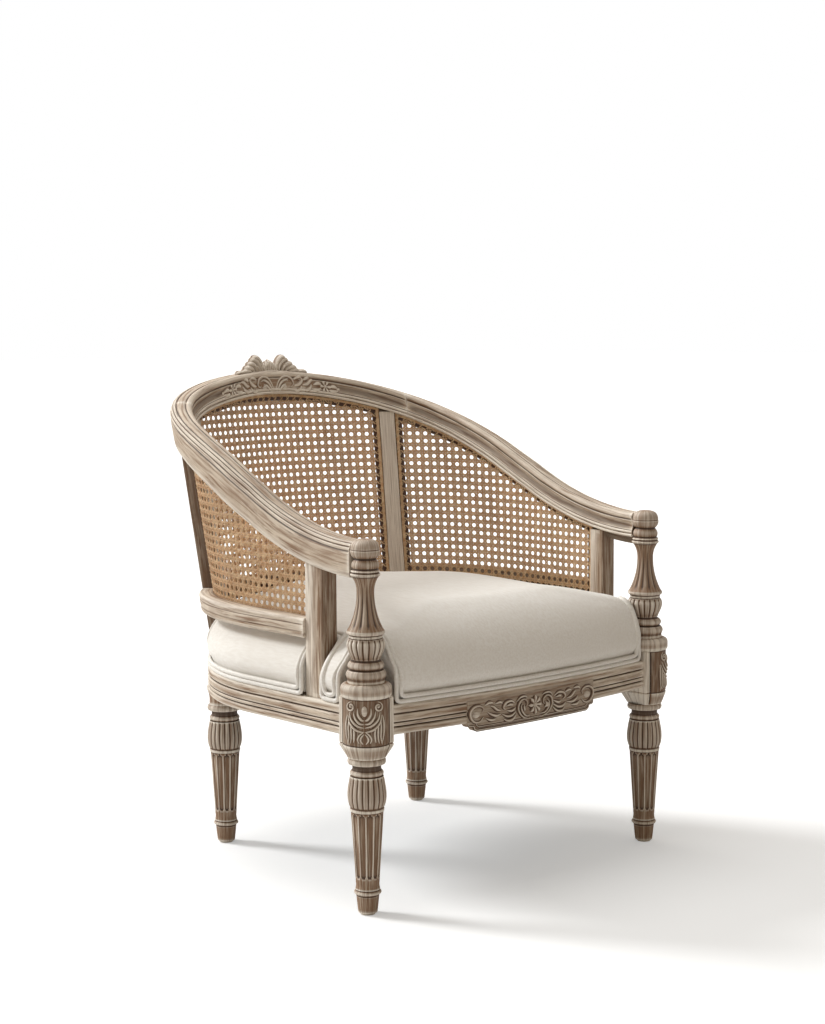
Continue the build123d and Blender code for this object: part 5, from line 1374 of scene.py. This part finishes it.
def slackCloth(name, node, material, slot, sag, restsOn):
    shape = nodeShape(node)
    low = Vector(min(vert.co[axis] for vert in shape.verts) for axis in range(3))
    high = Vector(max(vert.co[axis] for vert in shape.verts) for axis in range(3))
    area = sum(face.calc_area() for face in shape.faces if face.normal.z > 0.9)
    bmesh.ops.triangulate(shape, faces=[face for face in shape.faces if len(face.verts) > 4])
    for axis in (0, 1):
        cutAcross(shape, axis, spread(low[axis], high[axis], slack["cut"])[1:-1])
    for vert in shape.verts:
        across = max(0.0, 1 - (vert.co.x / slack["halfWide"])**2)
        vert.co.z += sag * (across * max(0.0, 1 - ((vert.co.y - slack["middleY"]) / slack["halfDeep"])**2))
    piece = makePiece(name, shape, material, (node,))

for name, cloth in cloths.items():
    slackCloth(name, *cloth)
print("cloths tacked")

# floor, light and white surround
stage = {
    "sun": (-0.41, 0.81, 0.60), "sunStrength": 2.6, "sunAngle": radians(16), "cool": (0.965, 0.985, 1.0),
    "world": 0.285, "ambient": (1.0, 0.85, 0.67, 1.0), "white": (1.0, 1.0, 1.0, 1.0), "aim": (0, 0, 0.45),
    "floor": paint(236, 235, 234), "floorHalf": 40.0, "lift": 0.345, "farLift": 0.62,
    "liftTint": (0.93, 0.97, 1.0, 1.0), "liftNear": 0.9, "liftFar": 2.6,
}
softboxes = (
    ("sideBox", 6.5, 2.4, (-3.0, 0.6, 1.5)), ("topBox", 32.0, 2.0, (-0.2, 0.5, 2.7)),
    ("frontBox", 1.0, 2.4, (-1.6, -3.0, 2.4)),
)

# a light that shines against the way given
def addLight(name, kind, strength, way):
    data = bpy.data.lights.new(name, kind)
    data.energy = strength
    data.color = stage["cool"]
    light = addObject(name, data)
    light.rotation_euler = way.to_track_quat("Z", "Y").to_euler()
    return light

sun = addLight("window", "SUN", stage["sunStrength"], Vector(stage["sun"]))
sun.data.angle = stage["sunAngle"]
for name, power, size, spot in softboxes:
    softbox = addLight(name, "AREA", power, Vector(spot) - Vector(stage["aim"]))
    softbox.data.size = size
    softbox.location = spot

# white to the camera and in reflections, dim and warm as light
world = bpy.data.worlds.new("surround")
bpy.context.scene.world = world
world.use_nodes = True
surround = world.node_tree
background = surround.nodes["Background"]
rays = addNode(surround, "LightPath").outputs
seen = combine(surround, "MAXIMUM", rays["Is Camera Ray"], rays["Is Glossy Ray"])
feed(surround, background.inputs["Color"], mixColours(surround, seen, stage["ambient"], stage["white"]))
feed(surround, background.inputs["Strength"], remap(surround, seen, 0.0, 1.0, stage["world"], 1.0))

# the floor glows a little to the camera, more so far away, and fades into the surround
floorShape = bmesh.new()
bmesh.ops.create_grid(floorShape, x_segments=1, y_segments=1, size=stage["floorHalf"])
floor = addObject("floor", asMesh("floor", floorShape))
floorPaint, floorTree, floorShader = newMaterial("floorPaint", 0.9)
floorShader.inputs["Base Color"].default_value = stage["floor"]
floorShader.inputs["Specular IOR Level"].default_value = 0.1
floorShader.inputs["Emission Color"].default_value = stage["liftTint"]
fromChair = floorTree.nodes.new("ShaderNodeVectorMath")
fromChair.operation = "LENGTH"
feed(floorTree, fromChair.inputs[0], objectPlace(floorTree))
lifted = remap(floorTree, fromChair.outputs["Value"], stage["liftNear"], stage["liftFar"],
               stage["lift"], stage["farLift"])
floorRays = addNode(floorTree, "LightPath").outputs
glow = multiply(floorTree, floorRays["Is Camera Ray"], lifted)
feed(floorTree, floorShader.inputs["Emission Strength"], glow)
floor.data.materials.append(floorPaint)

# finishes of the pieces that keep their nodes
nodePaint = (
    (timber, ("corner_brace_front_left", "corner_brace_front_right", "corner_brace_rear_left",
              "corner_brace_rear_right", "front_rail_dowels", "side_rail_dowels", "rear_rail_dowels",
              "arm_post_dowels", "crest_dowels", "lower_rail_dowels")),
    (cane, ("cane_spline_left", "cane_spline_right", "cane_spline_back")),
    (steel, ("brace_screws",)),
    (nylon, ("leg_glides",)),
)
for material, names in nodePaint:
    for name in names:
        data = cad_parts[name].data
        data.materials.clear()
        data.materials.append(material)

print("scene ready")
